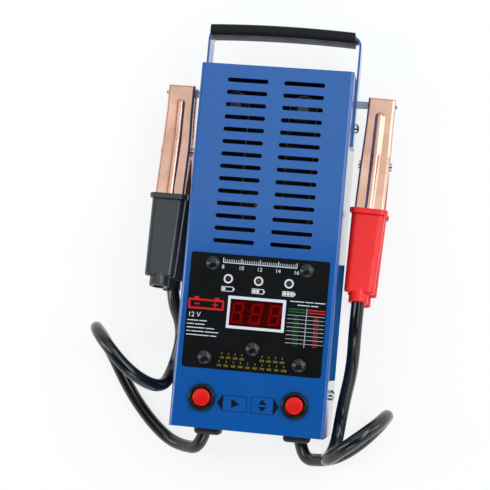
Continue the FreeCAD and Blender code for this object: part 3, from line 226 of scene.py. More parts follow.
def grainGroup(settings):
    tree, entry, out = newGroup("surfaceGrain", "ShaderNodeTree",
                                {"Vector": "Vector", "Stretch": "Vector", "Scale": "Float", "Low": "Float",
                                 "High": "Float"},
                                {"Height": "Float", "Roughness": "Float"})
    link = tree.links.new
    long = addNode(tree, "ShaderNodeVectorMath", operation="MULTIPLY")
    noise = addNode(tree, "ShaderNodeTexNoise", {"Detail": settings["detail"]})
    wide = addNode(tree, "ShaderNodeTexNoise",
                   {"Scale": settings["wideScale"], "Detail": settings["wideDetail"]})
    span = addNode(tree, "ShaderNodeMapRange", {"From Min": settings["low"], "From Max": settings["high"]})
    link(entry.outputs["Vector"], long.inputs[0])
    link(entry.outputs["Stretch"], long.inputs[1])
    link(long.outputs[0], noise.inputs["Vector"])
    link(long.outputs[0], wide.inputs["Vector"])
    link(entry.outputs["Scale"], noise.inputs["Scale"])
    link(wide.outputs["Fac"], span.inputs["Value"])
    link(entry.outputs["Low"], span.inputs["To Min"])
    link(entry.outputs["High"], span.inputs["To Max"])
    link(noise.outputs["Fac"], out.inputs["Height"])
    link(span.outputs["Result"], out.inputs["Roughness"])
    return tree


colourDrift = driftGroup(driftSettings)
surfaceGrain = grainGroup(grainSettings)


# a colour of 0 to 255 in linear light, by the sRGB curve
def linear(colour):
    channels = [c / 255 for c in colour]
    return tuple(c / 12.92 if c <= 0.04045 else ((c + 0.055) / 1.055) ** 2.4 for c in channels) + (1.0,)


# one finish for each surface: drift is scale and amount, grain is scale and strength, rough is low and high
printedInk = {"drift": (900, 0.08), "grain": (3000, 0.05), "rough": (0.4, 0.55), "specular": 0.2}
lampLens = {"drift": (400, 0.1), "grain": (1500, 0.03), "rough": (0.08, 0.14), "specular": 0.3}
finishSettings = {
    "bluePaint": {"colour": (8, 78, 150), "drift": (25, 0.02), "grain": (900, 0.01), "rough": (0.2, 0.26),
                  "specular": 0.15, "coat": (1.0, 0.13)},
    "blackFilm": {"colour": (10, 10, 12), "drift": (60, 0.2), "grain": (1500, 0.05), "rough": (0.28, 0.42),
                  "specular": 0.14},
    "whiteInk": {**printedInk, "colour": (208, 206, 216), "drift": (900, 0.06)},
    "redInk": {**printedInk, "colour": (190, 20, 22)},
    "greenInk": {**printedInk, "colour": (10, 92, 42)},
    "yellowInk": {**printedInk, "colour": (146, 130, 36), "drift": (900, 0.1)},
    "blackInk": {**printedInk, "colour": (12, 16, 28), "drift": (900, 0.1), "specular": 0.1},
    "patchBlue": {"colour": (32, 88, 150), "drift": (120, 0.14), "grain": (1200, 0.1), "rough": (0.6, 0.75),
                  "specular": 0.0},
    "gripBlack": {"colour": (35, 35, 36), "drift": (80, 0.12), "grain": (2200, 0.15), "rough": (0.3, 0.42),
                  "specular": 0.05},
    "zincPlate": {"colour": (150, 150, 162), "drift": (180, 0.15), "grain": (600, 0.08),
                  "rough": (0.25, 0.45), "metal": 1.0},
    "brightSteel": {"colour": (214, 214, 220), "drift": (300, 0.06), "grain": (900, 0.04),
                    "rough": (0.1, 0.22), "metal": 1.0},
    "dullSteel": {"colour": (150, 150, 154), "drift": (200, 0.12), "grain": (900, 0.08), "rough": (0.35, 0.5),
                  "metal": 1.0},
    # resistor frame steel, its colour darkened to stand for the shade inside the housing behind the vents:
    # painted shade
    "shadeDarkSteel": {"colour": (24, 23, 22), "drift": (90, 0.3), "grain": (900, 0.1), "rough": (0.55, 0.75),
                  "specular": 0.2},
    "brownedAlloy": {"colour": (132, 104, 78), "drift": (140, 0.25), "grain": (900, 0.1), "rough": (0.3, 0.5),
                     "metal": 1.0},
    "copperPlate": {"colour": (234, 175, 153), "drift": (38, 0.5), "grain": (500, 0.015),
                    "rough": (0.2, 0.28), "stretch": (3.0, 0.25, 3.0), "metal": 1.0},
    "busCopper": {"colour": (92, 62, 48), "drift": (160, 0.2), "grain": (700, 0.06), "rough": (0.4, 0.6),
                  "metal": 1.0},
    "redVinyl": {"colour": (232, 22, 22), "drift": (50, 0.05), "grain": (700, 0.08), "rough": (0.2, 0.32),
                 "stretch": (2.0, 0.12, 2.0), "specular": 0.35},
    "blackVinyl": {"colour": (46, 46, 50), "drift": (50, 0.12), "grain": (700, 0.1), "rough": (0.2, 0.3),
                   "stretch": (2.0, 0.12, 2.0)},
    "cableJacket": {"colour": (18, 18, 20), "drift": (90, 0.15), "grain": (1500, 0.02), "rough": (0.13, 0.2),
                    "specular": 0.6},
    "glandRubber": {"colour": (24, 24, 26), "drift": (90, 0.15), "grain": (1500, 0.15), "rough": (0.45, 0.6)},
    "rivetBlack": {"colour": (16, 16, 18), "drift": (300, 0.15), "grain": (1800, 0.03), "rough": (0.2, 0.28)},
    "bezelBlack": {"colour": (14, 14, 16), "drift": (200, 0.15), "grain": (2000, 0.04), "rough": (0.16, 0.26),
                   "specular": 0.25},
    "capRed": {"colour": (212, 20, 14), "drift": (200, 0.04), "grain": (1800, 0.04), "rough": (0.22, 0.32),
               "specular": 0.25},
    "lensRed": {**lampLens, "colour": (52, 8, 8)},
    "lensAmber": {**lampLens, "colour": (74, 56, 22)},
    "lensGreen": {**lampLens, "colour": (14, 42, 24)},
    "windowRed": {"colour": (176, 40, 34), "drift": (300, 0.05), "grain": (2000, 0.01), "rough": (0.03, 0.07),
                  "transmission": 1.0},
    "segmentGrey": {"colour": (250, 214, 206), "drift": (500, 0.1), "grain": (2000, 0.05),
                    "rough": (0.4, 0.55)},
    "displayCase": {"colour": (108, 84, 82), "drift": (300, 0.12), "grain": (2000, 0.1),
                    "rough": (0.5, 0.65)},
    "boardGreen": {"colour": (22, 84, 48), "drift": (150, 0.15), "grain": (1200, 0.1), "rough": (0.35, 0.5)},
    "nylonWhite": {"colour": (222, 220, 210), "drift": (200, 0.06), "grain": (1500, 0.1),
                   "rough": (0.4, 0.55)},
    "ceramicBrown": {"colour": (30, 25, 22), "drift": (200, 0.2), "grain": (900, 0.15), "rough": (0.5, 0.7),
                     "specular": 0.2},
    "relayBlack": {"colour": (30, 30, 32), "drift": (120, 0.12), "grain": (1500, 0.12), "rough": (0.4, 0.55)},
}


def makeFinish(name, settings):
    material = bpy.data.materials.new(name)
    material.use_nodes = True
    tree = material.node_tree
    link = tree.links.new
    shader = tree.nodes["Principled BSDF"]
    where = addNode(tree, "ShaderNodeTexCoord")
    driftScale, driftAmount = settings["drift"]
    drift = addNode(tree, "ShaderNodeGroup",
                    {"Color": linear(settings["colour"]), "Scale": driftScale, "Amount": driftAmount},
                    node_tree=colourDrift)
    grainScale, grainStrength = settings["grain"]
    low, high = settings["rough"]
    stretch = settings.get("stretch", (1, 1, 1))
    grain = addNode(tree, "ShaderNodeGroup",
                    {"Stretch": stretch, "Scale": grainScale, "Low": low, "High": high},
                    node_tree=surfaceGrain)
    bump = addNode(tree, "ShaderNodeBump", {"Strength": grainStrength, "Distance": grainSettings["depth"]})
    for group in (drift, grain):
        link(where.outputs["Object"], group.inputs["Vector"])
    link(drift.outputs["Color"], shader.inputs["Base Color"])
    link(grain.outputs["Roughness"], shader.inputs["Roughness"])
    link(grain.outputs["Height"], bump.inputs["Height"])
    link(bump.outputs["Normal"], shader.inputs["Normal"])
    plain = {"Metallic": settings.get("metal", 0.0), "Specular IOR Level": settings.get("specular", 0.5),
             "Transmission Weight": settings.get("transmission", 0.0)}
    if "coat" in settings:
        plain["Coat Weight"], plain["Coat Roughness"] = settings["coat"]
    for key, value in plain.items():
        shader.inputs[key].default_value = value
    return material


finishes = {name: makeFinish(name, settings) for name, settings in finishSettings.items()}
print("finishes made:", len(finishes))

# every CAD node gets its finish
nodeFinishes = {
    "bluePaint": ["front_cover", "rear_cover", "handle_strap"],
    "gripBlack": ["handle_grip"],
    "zincPlate": ["clamp_rest_right", "clamp_rest_left"],
    "brightSteel": ["side_screws", "red_pivot", "black_pivot"],
    "dullSteel": ["side_nuts", "test_button_nut", "set_button_nut", "resistor_bolts", "lug_bolts",
                  "test_button_spring", "set_button_spring", "red_clamp_spring", "black_clamp_spring"],
    "blackFilm": ["front_label"],
    "windowRed": ["display_window"],
    "displayCase": ["display_module"],
    "boardGreen": ["circuit_board"],
    "nylonWhite": ["board_spacers"],
    "rivetBlack": ["label_rivets"],
    "lensRed": ["led_red"],
    "lensAmber": ["led_amber"],
    "lensGreen": ["led_green"],
    "brownedAlloy": ["load_resistor"],
    "shadeDarkSteel": ["resistor_frame"],
    "ceramicBrown": ["resistor_insulators"],
    "relayBlack": ["load_relay"],
    "busCopper": ["bus_bar_negative", "bus_bar_positive", "relay_link", "cable_lugs"],
    "glandRubber": ["gland_left", "gland_right"],
    "bezelBlack": ["test_button_body", "set_button_body"],
    "capRed": ["test_button_cap", "set_button_cap"],
    "cableJacket": ["cable_black", "cable_red"],
    "copperPlate": ["red_jaw_cable", "red_jaw_free", "black_jaw_cable", "black_jaw_free"],
    "redVinyl": ["red_sleeve_cable", "red_sleeve_free"],
    "blackVinyl": ["black_sleeve_cable", "black_sleeve_free"],
}
for finishName, names in nodeFinishes.items():
    for name in names:
        nodes[name].data.materials.clear()
        nodes[name].data.materials.append(finishes[finishName])
print("finishes set on", sum(len(n) for n in nodeFinishes.values()), "nodes")

# the two leads, from the bottom glands to the clamp sleeves
leadSettings = {
    "diameter": 9.0,
    "round": 6,
    "order": 3,
    "steps": 14,
    "exit": {"leadBlack": (-31.3, -124.2, 32), "leadRed": (31.3, -124.2, 32)},
    "length": {"leadBlack": 0.386, "leadRed": 0.397},
    "node": {"leadBlack": "cable_black", "leadRed": "cable_red"},
    "route": {
        "leadBlack": [
            (-31.3, -96.2, 32), (-31.3, -140.6, 32), (-56.1, -141.5, 8), (-73.4, -130.5, 5),
            (-94, -107.7, 4.5), (-113.2, -75.4, 5.2), (-119.8, -59.9, 32.4), (-107.2, -69.8, 61.3),
            (-84.9, -92.4, 61.5), (-66.5, -102.1, 39), (-62, -89, 20), (-55.7, -59.1, 26),
            (-70.2, -36.5, 10.8), (-70.2, -6.5, 16.2)],
        "leadRed": [
            (31.3, -96.2, 32), (31.3, -140.6, 32), (52, -142.8, 7.5), (68.8, -133.6, 5.6),
            (85.2, -117.2, 9.5), (94.4, -103.3, 36.1), (86.8, -111.8, 65.8), (68, -127.6, 72),
            (51.6, -141.3, 49.6), (58, -133.5, 18.4), (60.3, -102.8, 13), (66.5, -74.4, 45.8),
            (66.7, -43.5, 66.4), (67.8, -6.5, 59.8)],
    },
}


def addLead(name, settings):
    curve = bpy.data.curves.new(name, "CURVE")
    curve.dimensions = "3D"
    curve.bevel_depth = settings["diameter"] * mm / 2
    curve.bevel_resolution = settings["round"]
    curve.use_fill_caps = True
    route = settings["route"][name]
    spline = curve.splines.new("NURBS")
    spline.points.add(len(route) - 1)
    for point, spot in zip(spline.points, route):
        point.co = [c * mm for c in spot] + [1.0]
    spline.order_u = settings["order"]
    spline.use_endpoint_u = True
    spline.resolution_u = settings["steps"]
    curve.materials.append(finishes["cableJacket"])
    item = bpy.data.objects.new(name, curve)
    scene.collection.objects.link(item)
    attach(item, "tester")
    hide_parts(settings["node"][name])


for leadName in leadSettings["route"]:
    addLead(leadName, leadSettings)
print("leads laid")

# helpers for new pieces, in millimetres
weldDistance = 1e-7  # metres


def addPiece(name, mesh, finishName, body="tester", stands=()):
    piece = bpy.data.objects.new(name, mesh)
    scene.collection.objects.link(piece)
    mesh.materials.clear()
    mesh.materials.append(finishes[finishName])
    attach(piece, body)
    if stands:
        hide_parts(*stands)
    return piece


# smooth is the angle in degrees past which an edge stays sharp
def finishMesh(work, name, smooth=None):
    bmesh.ops.remove_doubles(work, verts=work.verts, dist=weldDistance)
    bmesh.ops.recalc_face_normals(work, faces=work.faces)
    mesh = bpy.data.meshes.new(name)
    work.to_mesh(mesh)
    work.free()
    if smooth is not None:
        mesh.polygons.foreach_set("use_smooth", [True] * len(mesh.polygons))
        mesh.set_sharp_from_angle(angle=math.radians(smooth))
    return mesh


def plainMesh(item):
    view = bpy.context.evaluated_depsgraph_get()
    return bpy.data.meshes.new_from_object(item.evaluated_get(view))


def addMesh(work, mesh):
    work.from_mesh(mesh)
    bpy.data.meshes.remove(mesh)


def addBlock(work, low, high):
    shape = bmesh.ops.create_cube(work, size=1.0)
    middle = (Vector(low) + Vector(high)) / 2 * mm
    size = (Vector(high) - Vector(low)) * mm
    bmesh.ops.scale(work, vec=size, verts=shape["verts"])
    bmesh.ops.translate(work, vec=middle, verts=shape["verts"])


def ringAt(work, corners, height):
    return [work.verts.new(Vector((x, y, height)) * mm) for x, y in corners]


# faces between two rings, or between a ring and a pole
def bridge(work, first, second):
    count = max(len(first), len(second))
    for i in range(count):
        j = (i + 1) % count
        if len(first) == 1:
            work.faces.new((first[0], second[i], second[j]))
        elif len(second) == 1:
            work.faces.new((first[i], first[j], second[0]))
        else:
            work.faces.new((first[i], first[j], second[j], second[i]))


def addOutline(work, corners, low, high):
    foot = ringAt(work, corners, low)
    top = ringAt(work, corners, high)
    work.faces.new(list(reversed(foot)))
    work.faces.new(top)
    bridge(work, foot, top)


def addFrameLoop(work, outer, inner, low, high):
    around = ((outer, low), (outer, high), (inner, high), (inner, low))
    rings = [ringAt(work, corners, height) for corners, height in around]
    for first, second in zip(rings, rings[1:] + rings[:1]):
        bridge(work, first, second)


def joinRings(work, rings):
    for first, second in zip(rings, rings[1:]):
        bridge(work, first, second)
    work.faces.new(rings[0])
    work.faces.new(rings[-1])


def arcPoints(x, y, wide, high, start, end, steps):
    points = []
    for step in range(steps + 1):
        angle = math.radians(start + (end - start) * step / steps)
        points.append((x + wide * math.cos(angle), y + high * math.sin(angle)))
    return points


def circle(x, y, radius, steps=40):
    return arcPoints(x, y, radius, radius, 0, 360, steps)[:-1]


def roundedBox(box, radius, steps=6):
    x0, y0, x1, y1 = box
    corners = []
    for x, y, start in ((x1 - radius, y1 - radius, 0), (x0 + radius, y1 - radius, 90),
                        (x0 + radius, y0 + radius, 180), (x1 - radius, y0 + radius, 270)):
        corners += arcPoints(x, y, radius, radius, start, start + 90, steps)
    return corners


# runs a geometry tree on a few points and keeps its result as a plain mesh
def runTree(tree, spots, values):
    seed = bpy.data.meshes.new("seed")
    seed.from_pydata([Vector(s) * mm for s in spots], [], [])
    item = bpy.data.objects.new("seed", seed)
    scene.collection.objects.link(item)
    modifier = item.modifiers.new("repeat", "NODES")
    modifier.node_group = tree
    for socket in tree.interface.items_tree:
        if socket.in_out == "INPUT" and socket.name in values:
            modifier[socket.identifier] = values[socket.name]
    mesh = plainMesh(item)
    item.modifiers.clear()
    bpy.data.objects.remove(item)
    return mesh


def newTree(name, inputs):
    return newGroup(name, "GeometryNodeTree", {"Geometry": "Geometry", **inputs, "Finish": "Material"},
                    {"Geometry": "Geometry"})


def closeTree(tree, entry, out, instance, smooth):
    link = tree.links.new
    spread = addNode(tree, "GeometryNodeInstanceOnPoints")
    real = addNode(tree, "GeometryNodeRealizeInstances")
    shade = addNode(tree, "GeometryNodeSetShadeSmooth", {"Shade Smooth": smooth})
    paint = addNode(tree, "GeometryNodeSetMaterial")
    link(entry.outputs["Geometry"], spread.inputs["Points"])
    link(instance, spread.inputs["Instance"])
    link(spread.outputs[0], real.inputs[0])
    link(real.outputs[0], shade.inputs[0])
    link(shade.outputs[0], paint.inputs[0])
    link(entry.outputs["Finish"], paint.inputs["Material"])
    link(paint.outputs[0], out.inputs[0])


# bowed grip on the handle strap; its section is a box in y and z
gripSettings = {"half": 51.0, "slid": -2.0, "section": (149.9, 26.0, 157.6, 50.0), "round": 3.2, "bow": 1.4,
                "steps": 32, "smooth": 40}


def sweepGrip(settings):
    work = bmesh.new()
    section = roundedBox(settings["section"], settings["round"])
    rings = []
    for step in range(settings["steps"] + 1):
        along = 2 * step / settings["steps"] - 1
        lift = settings["bow"] * (1 - along ** 2)
        x = along * settings["half"] + settings["slid"]
        rings.append([work.verts.new(Vector((x, y + lift, z)) * mm) for y, z in section])
    joinRings(work, rings)
    return finishMesh(work, "gripBar", settings["smooth"])


addPiece("gripBar", sweepGrip(gripSettings), "gripBlack", stands=["handle_grip"])

# handle strap, with its crown raised to the middle of the grip
strapSettings = {"above": 140.0, "lift": 3.2, "smooth": 32}


def raiseStrap(settings):
    work = bmesh.new()
    work.from_mesh(nodes["handle_strap"].data)
    for vert in work.verts:
        if vert.co.y > settings["above"] * mm:
            vert.co.y += settings["lift"] * mm
    return finishMesh(work, "handleStrap", settings["smooth"])


addPiece("handleStrap", raiseStrap(strapSettings), "bluePaint", stands=["handle_strap"])
print("grip and strap placed")

# label rivets: the upper half of a ball, drawn to the radius and rise of the head
rivetSettings = {"head": 5.1, "rise": 2.7, "segments": 48, "rings": 32,
                 "spots": [(-32, -13), (32, -13), (-32, -76.8), (32, -76.8), (0, -68.6)]}


def rivetTree(settings):
    tree, entry, out = newTree("domeRivets", {"Head": "Float", "Rise": "Float"})
    link = tree.links.new
    ball = addNode(tree, "GeometryNodeMeshUVSphere",
                   {"Segments": settings["segments"], "Rings": settings["rings"], "Radius": 1.0})
    spot = addNode(tree, "GeometryNodeInputPosition")
    parts = addNode(tree, "ShaderNodeSeparateXYZ")
    join = addNode(tree, "ShaderNodeCombineXYZ")
    above = addNode(tree, "ShaderNodeMath", {1: 0.0}, operation="MAXIMUM")
    move = addNode(tree, "GeometryNodeSetPosition")
    link(spot.outputs[0], parts.inputs[0])
    link(parts.outputs["Z"], above.inputs[0])
    for axis, way, size in (("X", parts.outputs["X"], "Head"), ("Y", parts.outputs["Y"], "Head"),
                            ("Z", above.outputs[0], "Rise")):
        grow = addNode(tree, "ShaderNodeMath", operation="MULTIPLY")
        link(way, grow.inputs[0])
        link(entry.outputs[size], grow.inputs[1])
        link(grow.outputs[0], join.inputs[axis])
    link(ball.outputs["Mesh"], move.inputs["Geometry"])
    link(join.outputs[0], move.inputs["Position"])
    closeTree(tree, entry, out, move.outputs[0], True)
    return tree


rivetMesh = runTree(rivetTree(rivetSettings), [(x, y, filmFace) for x, y in rivetSettings["spots"]],
                    {"Head": rivetSettings["head"] * mm, "Rise": rivetSettings["rise"] * mm,
                     "Finish": finishes["rivetBlack"]})
addPiece("rivetHeads", rivetMesh, "rivetBlack", stands=["label_rivets"])

# painted edges of the vent slots: a thin bead round each slot, with nearly half round ends
ventSettings = {"length": 28.2, "height": 3.1, "bead": 0.16, "sunk": 0.08, "apart": 38.8, "first": 113.3,
                "pitch": 8.5, "rows": 14, "endShare": 0.499, "endSteps": 7, "beadSides": 6}


def rimTree(settings):
    tree, entry, out = newTree("slotRims", {"Length": "Float", "Height": "Float", "Bead": "Float"})
    link = tree.links.new
    shape = addNode(tree, "GeometryNodeCurvePrimitiveQuadrilateral")
    corner = addNode(tree, "GeometryNodeFilletCurve", {"Count": settings["endSteps"], "Limit Radius": True},
                     mode="POLY")
    half = addNode(tree, "ShaderNodeMath", {1: settings["endShare"]}, operation="MULTIPLY")
    bead = addNode(tree, "GeometryNodeCurvePrimitiveCircle", {"Resolution": settings["beadSides"]})
    sweep = addNode(tree, "GeometryNodeCurveToMesh")
    link(entry.outputs["Length"], shape.inputs["Width"])
    link(entry.outputs["Height"], shape.inputs["Height"])
    link(shape.outputs[0], corner.inputs["Curve"])
    link(entry.outputs["Height"], half.inputs[0])
    link(half.outputs[0], corner.inputs["Radius"])
    link(entry.outputs["Bead"], bead.inputs["Radius"])
    link(corner.outputs[0], sweep.inputs["Curve"])
    link(bead.outputs[0], sweep.inputs["Profile Curve"])
    closeTree(tree, entry, out, sweep.outputs[0], True)
    return tree


ventSpots = []
for side in (-1, 1):
    for row in range(ventSettings["rows"]):
        y = ventSettings["first"] - row * ventSettings["pitch"]
        ventSpots.append((side * ventSettings["apart"] / 2, y, panelFace - ventSettings["sunk"]))
ventMesh = runTree(rimTree(ventSettings), ventSpots,
                   {"Length": ventSettings["length"] * mm, "Height": ventSettings["height"] * mm,
                    "Bead": ventSettings["bead"] * mm, "Finish": finishes["bluePaint"]})
addPiece("ventEdges", ventMesh, "bluePaint")
print("rivets and vent edges placed")

# push buttons, heights from the panel's face
buttonSettings = {
    "y": -103.6,
    "spots": {"test": -31.4, "set": 31.4},
    "segments": 64,
    "smooth": 32,
    "bezel": {"inner": 6.45, "crown": 7.4, "outer": 9.25, "top": 3.4, "innerRound": 0.85, "outerRound": 2.1,
              "seat": -3.4, "barrel": 7.5, "bore": 4.3, "end": -20.0, "steps": 6},
    "cap": {"radius": 5.95, "top": 4.62, "edge": 4.2, "round": 1.1, "skirt": 1.2, "stem": 4.15, "foot": -1.8,
            "crownSteps": 4, "steps": 6},
}
# the springs under the caps; their heights are from the back
springSettings = {"mean": 3.5, "wire": 0.35, "turns": 4, "steps": 24, "sides": 8, "low": 65.8, "high": 74.1,
                  "keep": 0.69, "smooth": 60}


def bezelProfile(settings):
    crown, top = settings["crown"], settings["top"]
    inside, outside = settings["innerRound"], settings["outerRound"]
    lip = arcPoints(crown, top - inside, crown - settings["inner"], inside, 180, 90, settings["steps"])
    flank = arcPoints(crown, top - outside, settings["outer"] - crown, outside, 90, 0, settings["steps"])
    seat, end = settings["seat"], settings["end"]
    below = [(settings["outer"], 0), (settings["barrel"], 0), (settings["barrel"], end),
             (settings["bore"], end), (settings["bore"], seat)]
    return [(settings["inner"], seat)] + lip + flank[1:] + below


def capProfile(settings):
    edge, bend = settings["edge"], settings["round"]
    flat = settings["radius"] - bend
    crown = []
    for step in range(settings["crownSteps"]):
        share = step / settings["crownSteps"]
        crown.append((flat * share, settings["top"] - (settings["top"] - edge) * share ** 2))
    corner = arcPoints(flat, edge - bend, bend, bend, 90, 0, settings["steps"])
    stem, skirt, foot = settings["stem"], settings["skirt"], settings["foot"]
    return crown + corner + [(settings["radius"], skirt), (stem, skirt), (stem, foot), (0, foot)]


def lathe(name, profile, centre, closed=False):
    x, y, z = centre
    work = bmesh.new()
    rings = []
    for radius, height in profile:
        corners = circle(x, y, radius, buttonSettings["segments"]) if radius else [(x, y)]
        rings.append(ringAt(work, corners, z + height))
    if closed:
        rings.append(rings[0])
    for first, second in zip(rings, rings[1:]):
        bridge(work, first, second)
    return finishMesh(work, name, buttonSettings["smooth"])


def coilMesh(name, settings, x, y):
    work = bmesh.new()
    foot = settings["low"] + settings["wire"]
    rise = settings["high"] - settings["wire"] - foot
    count = settings["turns"] * settings["steps"]
    rings = []
    for step in range(count + 1):
        angle = 2 * math.pi * step / settings["steps"]
        outward = Vector((math.cos(angle), math.sin(angle), 0))
        middle = Vector((x, y, foot + rise * step / count)) + outward * settings["mean"]
        ring = []
        for out, up in circle(0, 0, settings["wire"], settings["sides"]):
            ring.append(work.verts.new((middle + outward * out + Vector((0, 0, up))) * mm))
        rings.append(ring)
    joinRings(work, rings)
    return finishMesh(work, name, settings["smooth"])


for tag, x in buttonSettings["spots"].items():
    y = buttonSettings["y"]
    coil = coilMesh(tag + "Spring", springSettings, x, y)
    spring = addPiece(tag + "Spring", coil, "dullSteel", stands=[tag + "_button_spring"])
    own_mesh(spring)
    spot = (x, y, panelFace)
    bezel = lathe(tag + "Bezel", bezelProfile(buttonSettings["bezel"]), spot, closed=True)
    addPiece(tag + "Bezel", bezel, "bezelBlack", stands=[tag + "_button_body"])
    cap = lathe(tag + "Cap", capProfile(buttonSettings["cap"]), spot)
    addPiece(tag + "Cap", cap, "capRed", body=tag + "_button", stands=[tag + "_button_cap"])
print("buttons placed")

# three unlit digits behind the red window
digitSettings = {"high": 14.2, "wide": 7.9, "stroke": 1.6, "pitch": 12.7, "y": -44.9, "z": 74.78,
                 "thick": 0.12, "slant": 0.13, "gap": 0.12, "dot": 0.9, "dotOut": 4.6, "dotSides": 16}


def segmentCorners(settings):
    stroke, gap = settings["stroke"], settings["gap"]
    side, top, half = settings["wide"] / 2, settings["high"] / 2, stroke / 2
    inner = side - stroke
    flat = [(-side + gap, top), (side - gap, top), (inner - gap, top - stroke), (-inner + gap, top - stroke)]
    upright = [(-side, top - gap), (-inner, top - stroke - gap), (-inner, half + gap), (-side + half, gap),
               (-side, half + gap)]
    middle = [(-side + half + gap, 0), (-inner + gap, half), (inner - gap, half), (side - half - gap, 0),
              (inner - gap, -half), (-inner + gap, -half)]
    bars = [middle]
    for flip in (1, -1):
        bars.append([(x, flip * y) for x, y in flat])
        for turn in (1, -1):
            bars.append([(turn * x, flip * y) for x, y in upright])
    return bars


def displayDigits(settings):
    work = bmesh.new()
    low, high = settings["z"], settings["z"] + settings["thick"]
    dotRadius = settings["dot"] / 2
    dotY = settings["y"] - settings["high"] / 2 + dotRadius
    for place in (-1, 0, 1):
        middle = place * settings["pitch"]
        for bar in segmentCorners(settings):
            corners = [(middle + x + settings["slant"] * y, settings["y"] + y) for x, y in bar]
            addOutline(work, corners, low, high)
        dot = circle(middle + settings["dotOut"], dotY, dotRadius, settings["dotSides"])
        addOutline(work, dot, low, high)
    return finishMesh(work, "displayDigits")


addPiece("displayDigits", displayDigits(digitSettings), "segmentGrey")
print("display digits placed")

# printing: thin ink on the label's film and on the panel; a capital is a share of the font's size
printSettings = {"thick": 0.04, "capital": 0.7, "fontSteps": 3}
inkLow = filmFace
inkHigh = inkLow + printSettings["thick"]
inkMid = (inkLow + inkHigh) / 2


def markTree():
    tree, entry, out = newTree("markRow", {"Size": "Vector"})
    block = addNode(tree, "GeometryNodeMeshCube")
    tree.links.new(entry.outputs["Size"], block.inputs["Size"])
    closeTree(tree, entry, out, block.outputs["Mesh"], False)
    return tree


markRow = markTree()


def printMarks(work, spots, wide, high, finishName="whiteInk"):
    size = Vector((wide, high, printSettings["thick"])) * mm
    spots = [(x, y, inkMid) for x, y in spots]
    addMesh(work, runTree(markRow, spots, {"Size": size, "Finish": finishes[finishName]}))


def printWords(work, words, high, x, y, align="CENTER"):
    curve = bpy.data.curves.new("print", "FONT")
    curve.body = words
    curve.size = high * mm / printSettings["capital"]
    curve.extrude = printSettings["thick"] * mm / 2
    curve.align_x = align
    curve.align_y = "CENTER"
    curve.resolution_u = printSettings["fontSteps"]
    item = bpy.data.objects.new("print", curve)
    scene.collection.objects.link(item)
    mesh = plainMesh(item)
    bpy.data.objects.remove(item)
    bpy.data.curves.remove(curve)
    mesh.transform(Matrix.Translation(Vector((x, y, inkMid)) * mm))
    addMesh(work, mesh)


# a line of even width along the inside of a box
def printBorder(work, box, settings):
    x0, y0, x1, y1 = box
    line, steps = settings["line"], settings["roundSteps"]
    inside = (x0 + line, y0 + line, x1 - line, y1 - line)
    outer = roundedBox(box, settings["round"], steps)
    inner = roundedBox(inside, settings["innerRound"], steps)
    addFrameLoop(work, outer, inner, inkLow, inkHigh)


# rings round the lamps, and a frame round the display
ringSettings = {"outer": 3.15, "inner": 2.1, "x": (-20.7, 0, 20.7), "y": -22.7}
surroundSettings = {"outer": (-19.5, -55.8, 19.9, -33.9), "round": 0.3,
                    "inner": (-17.8, -53.95, 17.8, -35.85), "innerRound": 0.1, "roundSteps": 2}


def printRings(work, settings):
    for x in settings["x"]:
        outer = circle(x, settings["y"], settings["outer"])
        inner = circle(x, settings["y"], settings["inner"])
        addFrameLoop(work, outer, inner, inkLow, inkHigh)


def printSurround(work, settings):
    outer = roundedBox(settings["outer"], settings["round"], settings["roundSteps"])
    inner = roundedBox(settings["inner"], settings["innerRound"], settings["roundSteps"])
    addFrameLoop(work, outer, inner, inkLow, inkHigh)


# volt scale along the top, with plain numbers
scaleSettings = {"half": 25.0, "y": -10.6, "steps": 40, "major": 10, "minorTick": (0.3, 2.0),
                 "majorTick": (0.5, 3.2), "majorUp": 0.4, "lineDown": 1.3, "line": 0.45,
                 "first": 8, "rise": 2, "numberY": -15.0, "numberHigh": 2.6}


def printScale(work, settings):
    y = settings["y"]
    step = 2 * settings["half"] / settings["steps"]
    ticks = [-settings["half"] + i * step for i in range(settings["steps"] + 1)]
    major = ticks[::settings["major"]]
    printMarks(work, [(x, y) for x in ticks if x not in major], *settings["minorTick"])
    printMarks(work, [(x, y + settings["majorUp"]) for x in major], *settings["majorTick"])
    length = 2 * settings["half"] + settings["majorTick"][0]
    printMarks(work, [(0, y - settings["lineDown"])], length, settings["line"])
    for number, x in enumerate(major):
        words = str(settings["first"] + number * settings["rise"])
        printWords(work, words, settings["numberHigh"], x, settings["numberY"])


# battery level signs under the lamps, with one, two and three cells
levelSettings = {"y": -29.6, "wide": 8.2, "high": 3.4, "line": 0.45, "round": 0.4, "innerRound": 0.15,
                 "roundSteps": 3, "pole": 0.7, "cell": 1.9, "cellPitch": 2.35}


def printLevels(work, settings):
    y, pole = settings["y"], settings["pole"]
    low, top = y - settings["high"] / 2, y + settings["high"] / 2
    for level, x in enumerate(ringSettings["x"], start=1):
        left, right = x - settings["wide"] / 2, x + settings["wide"] / 2
        printBorder(work, (left, low, right, top), settings)
        addBlock(work, (right, y - pole, inkLow), (right + pole, y + pole, inkHigh))
        cells = [(x + settings["cellPitch"] * (i - 1), y) for i in range(level)]
        printMarks(work, cells, settings["cell"], settings["cell"])


# table beside the display, with numbers in green and red
tableSettings = {
    "left": 21.4, "right": 46.6, "top": -43.4, "pitch": 2.68, "rows": 8, "line": 0.22,
    "middle": 34.2, "middleTop": -38.4, "middleBelow": 2.4, "middleLine": 0.3,
    "numberHigh": 1.75, "rise": 0.2, "headRows": (-39.4, -41.2), "headHigh": 0.8,
    "columns": {"green": {"x": 27.4, "first": 9.6, "headX": 27.6, "headWide": 11.4},
                "red": {"x": 41.2, "first": 8.0, "headX": 40.8, "headWide": 11.6}},
}
tableRows = [tableSettings["top"] - i * tableSettings["pitch"] for i in range(tableSettings["rows"])]


